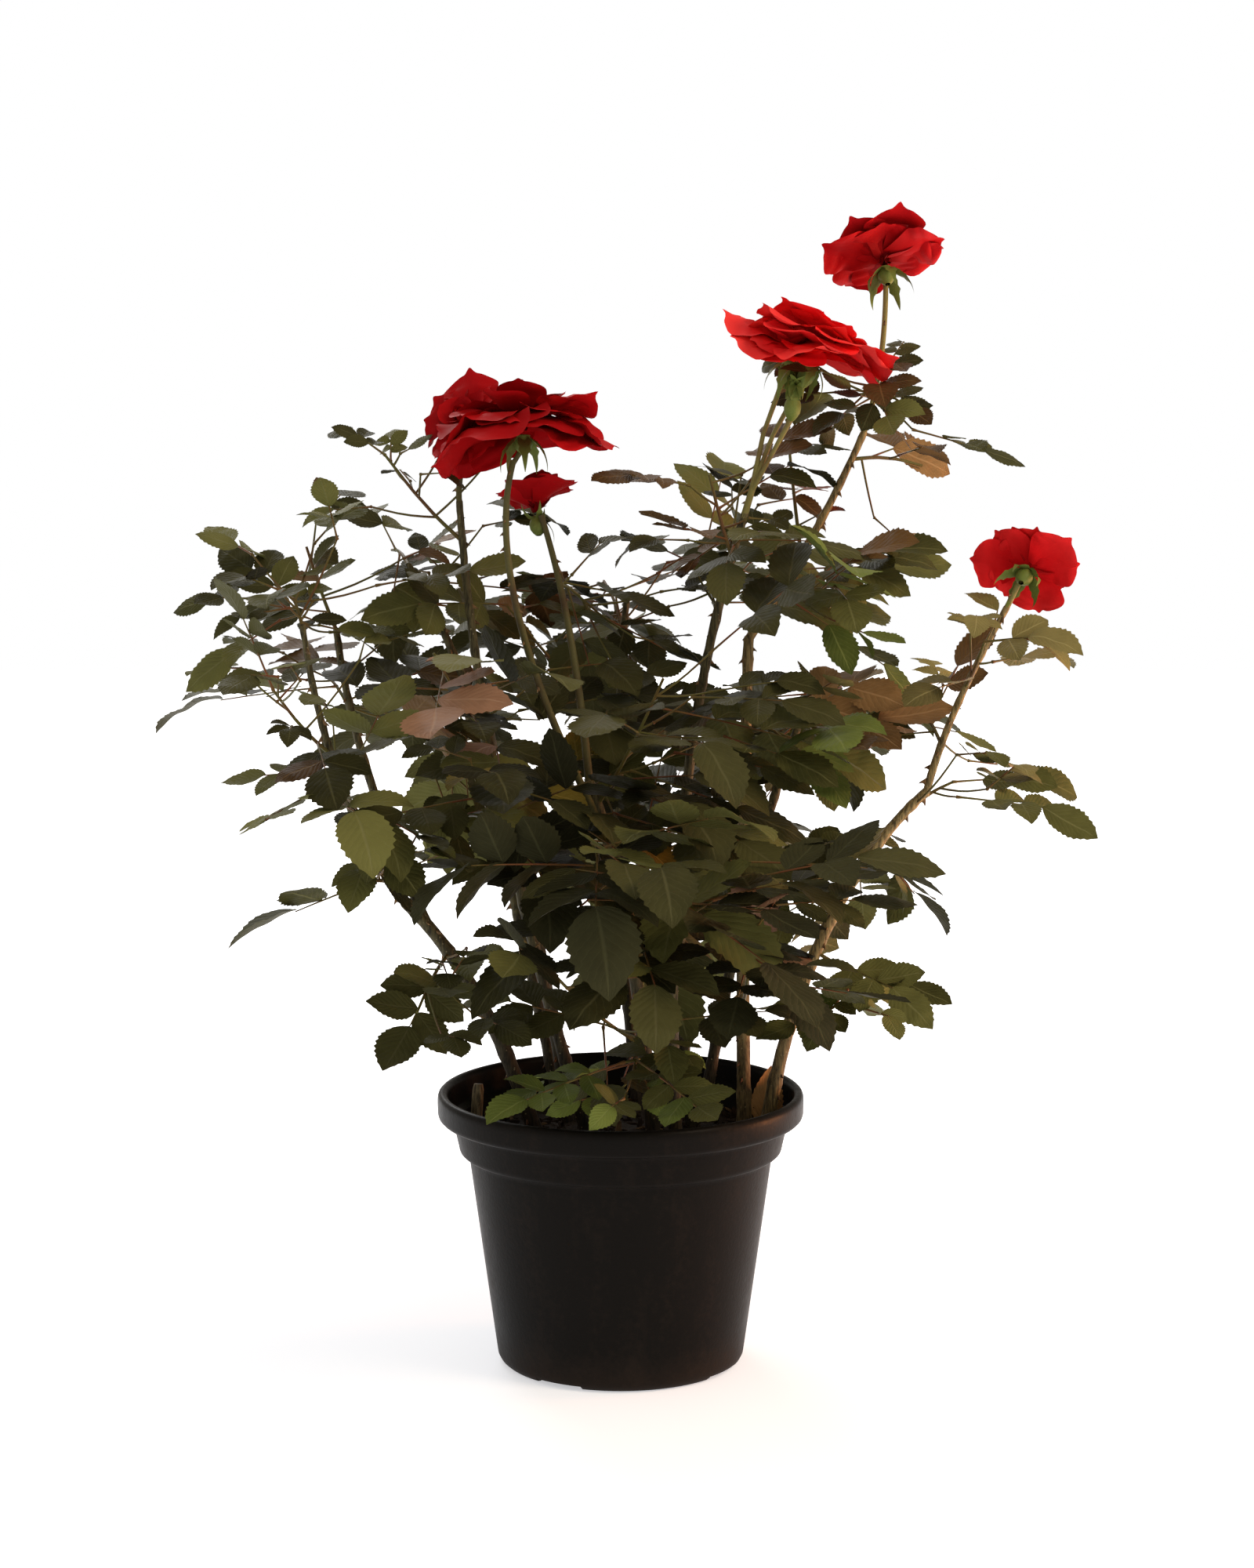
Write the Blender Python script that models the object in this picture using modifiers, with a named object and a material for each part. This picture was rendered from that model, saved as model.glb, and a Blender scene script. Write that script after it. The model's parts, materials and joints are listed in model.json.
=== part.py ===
"""Potted rose bush: red double roses on prickly canes in a 24 cm nursery pot.

Each cane, each mass of leaves and each bloom with its stalk is one closed solid. Metres, +Z up,
with the origin in the middle of the pot's underside. Seen from the front the plant faces -Y.
"""
import math
import random

import bmesh
import bpy
from mathutils import Matrix, Quaternion, Vector
from mathutils.bvhtree import BVHTree

MM = 0.001
GAP = 0.3 * MM              # clearance that two touching solids keep
UP = Vector((0, 0, 1))

# ---------------------------------------------------------------- pot and soil
POT_HEIGHT = 181 * MM
POT_LIP_RADIUS = 120.3 * MM
POT_COLLAR_RADIUS = 109.8 * MM
POT_BODY_TOP_RADIUS = 99.7 * MM
POT_BASE_RADIUS = 81.5 * MM
TURN_STEPS = 28              # sides of the pot and the soil
POT_WALL = 2.2 * MM
POT_FLOOR = 6 * MM
NOTCHES = 4
NOTCH_TURN = math.radians(-31)
NOTCH_WIDTH = 34 * MM
NOTCH_HEIGHT = 3 * MM
SOIL_TOP = 150 * MM
SOIL_CLEAR = 0.4 * MM

# ---------------------------------------------------------------- leaves
TURN = math.radians(144)    # from one leaf to the next round a shoot
LEAF_WIDTH = 0.64           # of a leaflet's length
LEAF_THICK = 1.4 * MM
ROOT = 0.35 * MM            # how far a leaflet's base is sunk past its rib's middle
RIB = 1.3 * MM              # radius of a leaf's three-sided rib at its foot
STAGGER = 1.6 * MM          # half the step between the two leaflets of a pair
STEM_RUNS = 3                # straight runs in a shoot
SHOOT = (1.7, 1.1)          # radii of a shoot at its foot and at its tip, mm

# ---------------------------------------------------------------- canes
# name: (parent, where on it from 0 to 1, or the foot's x and y, bow, tip, radius at foot and tip in mm)
CANES = {
    "cane_left": (None, (-0.055, -0.005), (0.005, 0.002, 0.013), (-0.139, -0.015, 0.308), (5.0, 4.0)),
    "left_outer": ("cane_left", 1.0, (-0.009, 0, -0.011), (-0.201, -0.045, 0.49), (3.5, 1.9)),
    "left_inner": ("cane_left", 0.86, (-0.01, 0.006, 0.003), (-0.186, 0.03, 0.481), (3.4, 2.2)),
    "cane_upper_left": (None, (-0.035, 0.045), (0.008, 0.01, 0.034), (-0.14, 0.055, 0.522), (4.2, 2.1)),
    "cane_bloom_left": (None, (-0.022, 0.005), (-0.015, -0.003, 0.014), (-0.104, 0.01, 0.566), (4.2, 2.2)),
    "cane_mid": (None, (0.022, -0.022), (0.003, -0.004, 0.027), (-0.02, -0.03, 0.388), (4.6, 3.4)),
    "cane_centre": (None, (0.036, -0.06), (-0.002, -0.005, 0.016), (0.033, -0.1, 0.318), (4.6, 3.6)),
    "cane_bloom_right": (None, (0.048, 0.022), (-0.023, -0.001, 0.002), (0.08, 0, 0.559), (4.4, 2.6)),
    "cane_top_right": (None, (0.082, 0.012), (-0.002, 0.006, 0.004), (0.084, 0.035, 0.475), (4.8, 3.4)),
    "bough_top_right": ("cane_top_right", 1.0, (0.003, 0, -0.002), (0.159, 0.045, 0.609), (3.0, 2.2)),
    "cane_far_right": (None, (0.094, -0.012), (-0.014, 0.001, 0.021), (0.199, 0, 0.379), (4.6, 3.0)),
    "bough_far_right": ("cane_far_right", 1.0, (-0.007, 0, -0.006), (0.248, -0.01, 0.499), (2.6, 1.9)),
    "cane_back_left": (None, (-0.04, 0.066), (-0.003, 0, 0.02), (-0.106, 0.135, 0.42), (4.2, 2.4)),
    "cane_back": (None, (0.012, 0.08), (-0.009, 0.005, 0.015), (0.004, 0.13, 0.493), (4.4, 2.2)),
    "cane_back_right": (None, (0.056, 0.062), (-0.004, -0.001, 0.017), (0.13, 0.13, 0.428), (4.2, 2.4)),
}

# ---------------------------------------------------------------- blooms, each with its stalk
# name: (parent, where, bow, tip, radii in mm, [(offset of the flower, way it faces, size in mm, how open)])
BLOOMS = {
    "bloom_top_right": ("bough_top_right", 1.0, (0.004, 0.002, -0.004), (0.172, 0.04, 0.711), (1.9, 1.7), [
        ((0, 0, 0), (0, 0.62, 0.78), 44, 1.0)]),
    "blooms_right": ("cane_bloom_right", 1.0, (0, 0, 0), (0.085, 0, 0.576), (2.4, 2.2), [
        ((0.017, 0, 0.067), (-0.12, -0.15, 1), 35, 0.85),
        ((0.034, -0.006, 0.067), (0.55, -0.25, 0.8), 35, 0.95)]),
    "bloom_left_outer": ("cane_bloom_left", 1.0, (-0.001, 0, -0.002), (-0.102, 0.01, 0.59), (2.0, 1.9), [
        ((0, 0, 0), (-0.3, -0.75, 0.6), 42, 0.9)]),
    "bloom_left": ("cane_mid", 0.78, (-0.026, -0.007, 0.02), (-0.067, -0.045, 0.595), (2.6, 1.9), [
        ((0, 0, 0), (0.45, -0.45, 0.8), 48, 1.0)]),
    "bud_left": ("cane_mid", 1.0, (0.003, 0.005, 0.009), (-0.051, 0, 0.558), (2.8, 1.9), [
        ((0, 0, 0), (0.05, -0.12, 1), 27, 0.3)]),
    "bloom_far_right": ("bough_far_right", 1.0, (0, 0, 0), (0.257, -0.01, 0.518), (1.9, 1.8), [
        ((0, 0, 0), (0.12, 0.65, 0.75), 37, 1.0)]),
}

# ---------------------------------------------------------------- masses of leaves
# name: (parent, where on it, tip of the shoot, leaves, leaflet length in mm, pairs of leaflets, seed)
MASSES = {
    "far_left_high": ("left_outer", 1.0, (-0.208, -0.028, 0.506), 1, 35, 3, 10626),
    "left_top": ("left_inner", 1.0, (-0.206, 0.041, 0.535), 4, 29, 1, 10414),
    "far_left_low": ("left_outer", 0.6, (-0.217, -0.075, 0.453), 2, 36, 2, 10455),
    "left_shelf": ("left_inner", 0.7, (-0.195, 0.065, 0.447), 3, 46, 2, 10068),
    "left_mid": ("left_outer", 0.45, (-0.183, -0.082, 0.389), 3, 45, 2, 10333),
    "left_low": ("left_outer", 0.1, (-0.169, -0.074, 0.325), 3, 45, 2, 10615),
    "left_skirt": ("cane_left", 0.72, (-0.129, -0.071, 0.247), 4, 39, 2, 10323),
    "upper_left": ("cane_upper_left", 1.0, (-0.155, 0.114, 0.528), 4, 45, 1, 10090),
    "top_left_twig": ("cane_bloom_left", 0.93, (-0.152, 0.014, 0.596), 2, 24, 2, 10421),
    "mid_left_high": ("cane_upper_left", 0.86, (-0.129, 0.095, 0.514), 4, 39, 3, 10197),
    "left_inner_mid": ("cane_bloom_left", 0.6, (-0.119, -0.032, 0.472), 5, 51, 2, 10402),
    "centre_left": ("cane_bloom_left", 0.42, (-0.092, -0.093, 0.405), 4, 46, 2, 10290),
    "centre_top": ("bud_left", 0.7, (-0.02, 0.041, 0.493), 3, 41, 2, 10239),
    "centre_high": ("cane_back", 0.72, (-0.076, 0.065, 0.495), 3, 39, 3, 10452),
    "centre_mid": ("cane_mid", 0.9, (0.027, -0.063, 0.459), 5, 53, 2, 10378),
    "centre_front": ("cane_mid", 0.62, (-0.017, -0.132, 0.365), 5, 53, 2, 10282),
    "front_left": ("cane_mid", 0.2, (-0.063, -0.125, 0.307), 5, 47, 2, 10090),
    "low_centre": ("cane_centre", 0.9, (0.027, -0.162, 0.351), 6, 51, 2, 10378),
    "sprig_front": ("cane_centre", 0.3, (0.002, -0.118, 0.225), 4, 40, 3, 10030),
    "mid_right_top": ("cane_bloom_right", 0.93, (0.057, 0, 0.584), 3, 39, 2, 10001),
    "mid_right": ("cane_bloom_right", 0.84, (0.056, 0.097, 0.526), 3, 53, 2, 10093),
    "right_upper": ("bough_top_right", 0.2, (0.136, 0.009, 0.498), 3, 52, 2, 10083),
    "top_right_leaves": ("bloom_top_right", 0.25, (0.165, 0.009, 0.64), 4, 32, 1, 10169),
    "top_right_side": ("bough_top_right", 0.88, (0.199, 0.064, 0.587), 2, 48, 1, 10350),
    "new_growth": ("bough_top_right", 0.42, (0.111, 0.098, 0.616), 4, 25, 2, 10180),
    "right_mid": ("cane_top_right", 0.8, (0.135, -0.029, 0.422), 6, 46, 2, 10584),
    "right_brown": ("bough_far_right", 0.3, (0.197, 0.05, 0.428), 4, 31, 1, 10052),
    "right_low": ("cane_far_right", 0.8, (0.151, 0.052, 0.305), 4, 39, 2, 10367),
    "right_skirt": ("cane_far_right", 0.45, (0.164, -0.015, 0.246), 3, 41, 2, 10610),
    "far_right_leaf": ("cane_far_right", 0.9, (0.216, 0, 0.385), 1, 39, 3, 10001),
    "far_right_top": ("bough_far_right", 0.62, (0.23, -0.05, 0.481), 2, 43, 1, 10082),
    "back_left": ("cane_back_left", 1.0, (-0.126, 0.178, 0.403), 4, 47, 2, 10543),
    "back_top": ("cane_back", 0.93, (-0.012, 0.182, 0.502), 5, 47, 2, 10618),
    "back_right": ("cane_back_right", 1.0, (0.15, 0.163, 0.409), 4, 43, 2, 10128),
    "back_low": ("cane_back", 0.45, (0.029, 0.185, 0.319), 5, 47, 2, 10606),
    "front_right": ("cane_top_right", 0.25, (0.08, -0.153, 0.312), 6, 47, 2, 10102),
}


# ================================================================ growth rule
def bezier(limb, t):
    """A point on a limb, whose middle stands off the straight line by its bow."""
    start, bow, tip = limb["start"], limb["bow"], limb["tip"]
    knee = (start + tip) / 2 + 2 * bow
    return (1 - t) ** 2 * start + 2 * t * (1 - t) * knee + t * t * tip


def heading(limb, t):
    start, bow, tip = limb["start"], limb["bow"], limb["tip"]
    knee = (start + tip) / 2 + 2 * bow
    return (2 * (1 - t) * (knee - start) + 2 * t * (tip - knee)).normalized()


def radius_at(limb, t):
    return (limb["radii"][0] + (limb["radii"][1] - limb["radii"][0]) * t) * MM


def turned(vector, axis, angle):
    return Quaternion(axis, angle) @ vector


def grow_limbs():
    """Every cane and every bloom's stalk, as start, bow, tip and radii."""
    limbs = {}
    for name, (parent, where, bow, tip, radii, *_) in {**CANES, **BLOOMS}.items():
        start = bezier(limbs[parent], where) if parent else Vector((*where, SOIL_TOP))
        limbs[name] = {"start": start, "bow": Vector(bow), "tip": Vector(tip), "radii": radii,
                       "parent": parent, "where": where}
    return limbs


def shoot_of(name, limbs):
    """The stem of one mass: it leaves its limb and lifts, or arches over where it hangs."""
    parent, where, tip = MASSES[name][:3]
    start, tip = bezier(limbs[parent], where), Vector(tip)
    rise = -0.045 if tip.z > start.z + 0.03 else 0.06
    return {"start": start, "bow": UP * rise * (tip - start).length, "tip": tip, "radii": SHOOT,
            "parent": parent, "where": where}


def compound_leaf(origin, along, size, pairs, dice):
    """One leaf: a rib with pairs of leaflets along it and one at its end."""
    face = UP - along * along.z
    face = face.normalized() if face.length > 0.2 else Vector((0, -1, 0.3)).normalized()
    face = turned(face, along, math.radians(dice.gauss(0, 22)))
    side = face.cross(along)
    stalk = (0.55 + 0.3 * dice.random()) * size
    step = 0.52 * size
    end = stalk + step * (pairs - 1) + 0.38 * size
    leaflets = []
    for pair in range(pairs):
        for hand in (-1, 1):
            swing = math.radians(dice.uniform(50, 68))
            dip = -hand * math.radians(dice.uniform(-22, 14))
            way = turned(along * math.cos(swing) + side * hand * math.sin(swing), along, dip)
            up = turned(turned(face, along, dip), way, math.radians(dice.uniform(-18, 18)))
            length = size * (0.70 + 0.16 * (pair + 1) / pairs) * dice.uniform(0.9, 1.08)
            leaflets.append({"at": stalk + step * pair + hand * STAGGER, "way": way, "face": up,
                             "length": length})
    nod = math.radians(dice.uniform(-5, 30))
    length = size * dice.uniform(0.98, 1.15)
    leaflets.append({"at": end, "way": turned(along, side, nod), "face": turned(face, side, nod),
                     "length": length})
    for leaflet in leaflets:
        leaflet["base"] = origin + along * leaflet["at"]
    return {"origin": origin, "along": along, "face": face, "leaflets": leaflets}


def on_stem(shoot, t):
    """A point on the straight runs that a shoot's solid is made of."""
    run = min(int(t * STEM_RUNS), STEM_RUNS - 1)
    return bezier(shoot, run / STEM_RUNS).lerp(bezier(shoot, (run + 1) / STEM_RUNS), t * STEM_RUNS - run)


def leaves_along(shoot, count, size, pairs, seed):
    """The leaves of one mass, each two fifths of a turn round its shoot from the one before."""
    dice = random.Random(seed)
    phase = dice.uniform(0, 2 * math.pi)
    leaves = []
    for k in range(count):
        t = 1.0 if count == 1 else 0.25 + 0.75 * k / (count - 1)
        stem = heading(shoot, min(t, 0.98))
        across = stem.cross(UP if abs(stem.z) < 0.9 else Vector((1, 0, 0))).normalized()
        across = turned(across, stem, phase + k * TURN + math.radians(dice.uniform(-25, 25)))
        splay = math.radians(dice.uniform(18, 35) if t > 0.97 else dice.uniform(42, 72))
        way = stem * math.cos(splay) + across * math.sin(splay)
        level = dice.uniform(0.25, 0.8)
        way.z = way.z * (1 - level) + dice.uniform(-0.22, 0.08)
        grown = size * dice.uniform(0.82, 1.12) * (1.0 if t < 0.9 else 0.92)
        fewer = 1 if dice.random() < 0.25 else 0
        leaves.append(compound_leaf(on_stem(shoot, t), way.normalized(), grown, max(1, pairs - fewer), dice))
    return leaves


# ================================================================ each mass keeps to its own space
# A blade in outline: (along, across) as parts of its length and width, from its base round to its tip.
OUTLINE = ((0, 0), (0.42, 0.5), (1, 0), (0.42, -0.5))
CREST = 0.28                # how far along a blade is thickest
SHELL = [(0, 1, 4), (1, 2, 4), (2, 3, 4), (3, 0, 4), (0, 3, 2, 1)]
ROD = [(0, 1, 4, 3), (1, 2, 5, 4), (2, 0, 3, 5)]


def blade_frame(leaflet):
    """Where a blade lies: x along it, y across it, z out of its face."""
    way, face = leaflet["way"], leaflet["face"]
    side = face.cross(way).normalized()
    frame = Matrix((way, side, way.cross(side))).transposed().to_4x4()
    frame.translation = leaflet["base"] - way * ROOT
    return frame


def blade_soup(leaflet, spread, thick, drop=0.0):
    """The blade's corners and faces for the test of its space, wider and thicker than it is."""
    frame, length = blade_frame(leaflet), leaflet["length"] + ROOT
    wide = leaflet["length"] * LEAF_WIDTH * spread
    points = [frame @ Vector((a * length, b * wide, drop)) for a, b in OUTLINE]
    points.append(frame @ Vector((CREST * length, 0, thick)))
    return points, SHELL


def rod_soup(start, end, radius_start, radius_end):
    way = (end - start).normalized()
    side = way.orthogonal().normalized()
    points = []
    for centre, radius in ((start, radius_start), (end, radius_end)):
        points += [centre + turned(side, way, k * math.tau / 3) * radius for k in range(3)]
    return points, ROD


def limb_soup(limb, extra, first=0.0):
    soups = []
    steps = 10
    for k in range(steps):
        a, b = first + (1 - first) * k / steps, first + (1 - first) * (k + 1) / steps
        soups.append(rod_soup(bezier(limb, a), bezier(limb, b),
                              radius_at(limb, a) * 1.6 + extra, radius_at(limb, b) * 1.6 + extra))
    return soups


def tree_of(soups):
    points, faces = [], []
    for corners, sides in soups:
        faces += [tuple(i + len(points) for i in side) for side in sides]
        points += corners
    return BVHTree.FromPolygons(points, faces) if faces else None


def over_pot(points):
    """True where a point would be in the soil or in the pot's wall and lip."""
    for p in points:
        if p.z < SOIL_TOP + 3 * MM and math.hypot(p.x, p.y) < POT_LIP_RADIUS + 4 * MM:
            return True
    return False


def lip_space():
    """A ring round the pot's lip and collar, for the leaves' space test."""
    ring = bmesh.new()
    bmesh.ops.create_cone(ring, segments=40, radius1=POT_LIP_RADIUS + 4 * MM, radius2=POT_LIP_RADIUS + 4 * MM,
                          depth=POT_HEIGHT + 4 * MM - SOIL_TOP)
    bmesh.ops.create_cone(ring, segments=40, radius1=POT_COLLAR_RADIUS - 8 * MM, radius2=POT_COLLAR_RADIUS - 8 * MM,
                          depth=POT_HEIGHT + 4 * MM - SOIL_TOP)
    bmesh.ops.bridge_loops(ring, edges=[e for e in ring.edges if e.verts[0].co.z > 0 and e.verts[1].co.z > 0])
    bmesh.ops.translate(ring, verts=ring.verts, vec=UP * (SOIL_TOP + POT_HEIGHT + 4 * MM) / 2)
    tree = BVHTree.FromBMesh(ring)
    ring.free()
    return tree


def kept_leaves(leaves, taken):
    """Drops each blade that would touch a limb, the pot or another mass, or cross a blade of its own."""
    kept, own = [], []
    for leaf in leaves:
        leaf["leaflets"] = [b for b in leaf["leaflets"] if not over_pot(blade_soup(b, 1.0, MM)[0])]
        good = []
        for blade in leaf["leaflets"]:
            tree = tree_of([blade_soup(blade, 1.25, 3 * MM, -1.2 * MM)])
            if any(tree.overlap(other) for other in taken) or any(tree.overlap(other) for other in own):
                continue
            good.append((blade, tree))
        if not good:
            continue
        reach = max(blade["at"] for blade, _ in good)
        foot = leaf["origin"] + leaf["along"] * 4 * MM
        rib = rod_soup(foot, leaf["origin"] + leaf["along"] * reach, 2.2 * MM, 1.8 * MM)
        rib_tree = tree_of([rib])
        if over_pot(rib[0]) or any(rib_tree.overlap(other) for other in taken + own):
            continue
        leaf["leaflets"] = [blade for blade, _ in good]
        leaf["reach"] = reach
        own += [tree for _, tree in good]
        kept.append(leaf)
    return kept


def grow_masses(limbs):
    """The shoot and the kept leaves of every mass, in the table's order."""
    shoots = {name: shoot_of(name, limbs) for name in MASSES}
    taken = [tree_of(sum((limb_soup(limb, 0.8 * MM) for limb in limbs.values()), []))]
    taken += bloom_space(limbs) + [lip_space()]
    stems = {name: tree_of(limb_soup(shoot, 0.8 * MM, 0.12)) for name, shoot in shoots.items()}
    masses = {}
    for name, (parent, where, tip, count, size, pairs, seed) in MASSES.items():
        others = taken + [tree for other, tree in stems.items() if other != name and other not in masses]
        leaves = kept_leaves(leaves_along(shoots[name], count, size * MM, pairs, seed), others)
        masses[name] = {"shoot": shoots[name], "leaves": leaves}
        taken.append(mass_tree(masses[name]))
    return masses


def mass_tree(mass):
    soups = limb_soup(mass["shoot"], 0.0, 0.05)
    for leaf in mass["leaves"]:
        soups.append(rod_soup(leaf["origin"], leaf["origin"] + leaf["along"] * leaf["reach"], RIB, RIB))
        soups += [blade_soup(blade, 1.0, LEAF_THICK) for blade in leaf["leaflets"]]
    return tree_of(soups)


# ================================================================ flowers, as the space test and the solids need them
def flower_frames(name, limb):
    """Each flower of a bloom: its frame (z out of the flower's face), its size and how open it is."""
    frames = []
    for k, (offset, face, size, openness) in enumerate(BLOOMS[name][5]):
        out = Vector(face).normalized()
        frame = out.to_track_quat("Z", "Y").to_matrix().to_4x4()
        frame.translation = limb["tip"] + Vector(offset)
        frames.append((frame, size * MM, openness, k))
    return frames


def bloom_space(limbs):
    """Closed forms round the petals, the sepals and the stalks of every flower, for the leaves' space test."""
    trees = []
    for name in BLOOMS:
        stalk = limbs[name]
        for frame, size, openness, _ in flower_frames(name, stalk):
            ball = bmesh.new()
            bmesh.ops.create_icosphere(ball, subdivisions=2, radius=1)
            wide = size * (0.62 + 0.45 * openness)
            for vert in ball.verts:
                vert.co = frame @ Vector((vert.co.x * wide, vert.co.y * wide, size * (0.35 + 0.6 * vert.co.z)))
            trees.append(BVHTree.FromBMesh(ball))
            ball.free()
            low = [spoke(frame, *turn_and_rise) for turn_and_rise in sepal_turns(openness)]
            tips = [place @ Vector((sepal_length(size) + 2 * MM, 0, 0)) for place in low]
            soups = [rod_soup(frame.translation, tip, 6 * MM, 4 * MM) for tip in tips]
            if (frame.translation - stalk["tip"]).length > MM:
                path = pedicel_path(stalk, frame)
                soups += [rod_soup(a, b, 4.5 * MM, 4.5 * MM) for a, b in zip(path, path[1:])]
            trees.append(tree_of(soups))
    return trees


def spoke(frame, turn, rise):
    """The frame of a sepal that leaves the flower's middle at this turn and rise."""
    flat = Vector((math.cos(turn), math.sin(turn), 0))
    way = flat * math.cos(rise) + UP * math.sin(rise)
    side = Vector((-math.sin(turn), math.cos(turn), 0))
    place = Matrix((way, side, way.cross(side))).transposed().to_4x4()
    place.translation = flat * 1.2 * MM
    return frame @ place


def sepal_turns(openness):
    return [(k * math.tau / 5 + 0.3, math.radians(-30 - 25 * openness)) for k in range(5)]


def sepal_length(size):
    return 0.62 * min(size, 38 * MM)


def pedicel_path(stalk, frame):
    """The short stalk that carries a flower beside the one at the main stalk's tip."""
    foot = stalk["tip"] - heading(stalk, 1) * 3 * MM
    offset = frame.translation - stalk["tip"]
    return [foot, foot.lerp(frame.translation, 0.45) - Vector((0.4 * MM, 0, 0)) * (offset.length / (10 * MM)),
            frame.translation]


# ================================================================ solids
def clear_scene():
    for old in list(bpy.data.objects):
        bpy.data.objects.remove(old, do_unlink=True)
    for old in list(bpy.data.collections):
        bpy.data.collections.remove(old)


def new_object(name, mesh, collection):
    thing = bpy.data.objects.new(name, mesh)
    collection.objects.link(thing)
    return thing


def mesh_from(bm, name):
    mesh = bpy.data.meshes.new(name)
    bm.to_mesh(mesh)
    bm.free()
    return mesh


def tube_mesh(name, points, radii, sides_level, scratch):
    """A tapering tube through the points: a curve with a round bevel, made a mesh with welded caps."""
    curve = bpy.data.curves.new(name, "CURVE")
    curve.dimensions = "3D"
    curve.bevel_depth = MM
    curve.bevel_resolution = sides_level
    curve.use_fill_caps = True
    spline = curve.splines.new("POLY")
    spline.points.add(len(points) - 1)
    for point, co, radius in zip(spline.points, points, radii):
        point.co = (*co, 1)
        point.radius = radius / MM
    holder = new_object(name, curve, scratch)
    graph = bpy.context.evaluated_depsgraph_get()
    mesh = bpy.data.meshes.new_from_object(holder.evaluated_get(graph))
    bpy.data.objects.remove(holder)
    bm = bmesh.new()
    bm.from_mesh(mesh)
    bmesh.ops.remove_doubles(bm, verts=bm.verts, dist=1e-6)
    bpy.data.meshes.remove(mesh)
    return bm


def trimmed(bm, at, normal):
    """Cuts off what lies behind a plane and closes the cut with one flat face."""
    geometry = bm.verts[:] + bm.edges[:] + bm.faces[:]
    bmesh.ops.bisect_plane(bm, geom=geometry, plane_co=at, plane_no=normal, clear_inner=True)
    bmesh.ops.holes_fill(bm, edges=[e for e in bm.edges if e.is_boundary], sides=0)
    bmesh.ops.recalc_face_normals(bm, faces=bm.faces)
    return bm


def seat_of(limb, limbs):
    """The plane that a limb's foot is cut to: the soil, its parent's end, or flat along its parent's bark."""
    if limb["parent"] is None:
        return Vector((0, 0, SOIL_TOP + GAP)), UP
    parent, where = limbs[limb["parent"]], limb["where"]
    along, way = heading(parent, where), heading(limb, 0)
    if where >= 1:
        return limb["start"] + along * GAP, along
    out = (way - along * way.dot(along)).normalized()
    return limb["start"] + out * (radius_at(parent, where) + GAP), out


def limb_mesh(name, limb, limbs, scratch, steps, sides_level):
    """A limb as a tapering tube whose flat foot lies GAP from its parent's bark."""
    lead = -8 * MM if (limb["parent"] is None or limb["where"] >= 1) else 0.0
    points = [bezier(limb, k / steps) for k in range(steps + 1)]
    radii = [radius_at(limb, k / steps) for k in range(steps + 1)]
    if lead:
        points.insert(0, points[0] + heading(limb, 0) * lead)
        radii.insert(0, radii[0])
    at, normal = seat_of(limb, limbs)
    bm = trimmed(tube_mesh(name, points, radii, sides_level, scratch), at, normal)
    if lead:
        return bm
    bark = bark_tree(bpy.data.objects[limb["parent"]])
    for _ in range(3):
        at = at + normal * (GAP - foot_gap(bm, at, normal, bark))
        bm.free()
        bm = trimmed(tube_mesh(name, points, radii, sides_level, scratch), at, normal)
    return bm


def bark_tree(thing):
    corners = [v.co.copy() for v in thing.data.vertices]
    return BVHTree.FromPolygons(corners, [tuple(p.vertices) for p in thing.data.polygons])


def foot_gap(bm, at, normal, bark):
    """The least distance from the flat foot to the bark, over a fan of points on that foot."""
    rim = [v.co.copy() for v in bm.verts if abs((v.co - at).dot(normal)) < 1e-6]
    middle = sum(rim, Vector()) / len(rim)
    least = 1.0
    for k, corner in enumerate(rim):
        for other in rim[k:]:
            for share in (0.0, 0.25, 0.5, 0.75, 1.0):
                edge = corner.lerp(other, share)
                for inward in (0.0, 0.35, 0.7):
                    point = edge.lerp(middle, inward)
                    spot, way, _, gap = bark.find_nearest(point)
                    least = min(least, gap if (point - spot).dot(way) >= 0 else -gap)
    return least


def leaf_blank():
    """A blade one unit long, wide and thick: a low four-sided pyramid, flat below and ridged above."""
    bm = bmesh.new()
    bmesh.ops.create_cone(bm, cap_ends=True, segments=4, radius1=1, radius2=0, depth=1)
    for vert in bm.verts:
        if vert.co.z > 0:
            vert.co = (CREST, 0, 1)
        elif abs(vert.co.x) > 0.5:
            vert.co = (0.5 + 0.5 * round(vert.co.x), 0, 0)
        else:
            vert.co = (OUTLINE[1][0], 0.5 * round(vert.co.y), 0)
    bmesh.ops.remove_doubles(bm, verts=bm.verts, dist=1e-6)
    bmesh.ops.recalc_face_normals(bm, faces=bm.faces)
    return mesh_from(bm, "blade")


def add_blade(frame, length, width, thick, blank, collection):
    mesh = blank.copy()
    mesh.transform(frame @ Matrix.Diagonal((length, width, thick, 1)))
    return new_object("blade", mesh, collection)


def add_rib(start, end, face, radius_start, radius_end, collection):
    """A three-sided rib, flat on top so that each leaflet comes out of one of its sides."""
    way = end - start
    out = way.normalized()
    frame = Matrix((face.cross(out), -face, out)).transposed()
    frame = (frame @ Matrix.Rotation(math.pi / 3, 3, "Z")).to_4x4()
    frame.translation = (start + end) / 2
    bm = bmesh.new()
    bmesh.ops.create_cone(bm, cap_ends=True, segments=3, radius1=radius_start, radius2=radius_end,
                          depth=way.length, matrix=frame)
    return new_object("rib", mesh_from(bm, "rib"), collection)


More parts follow.
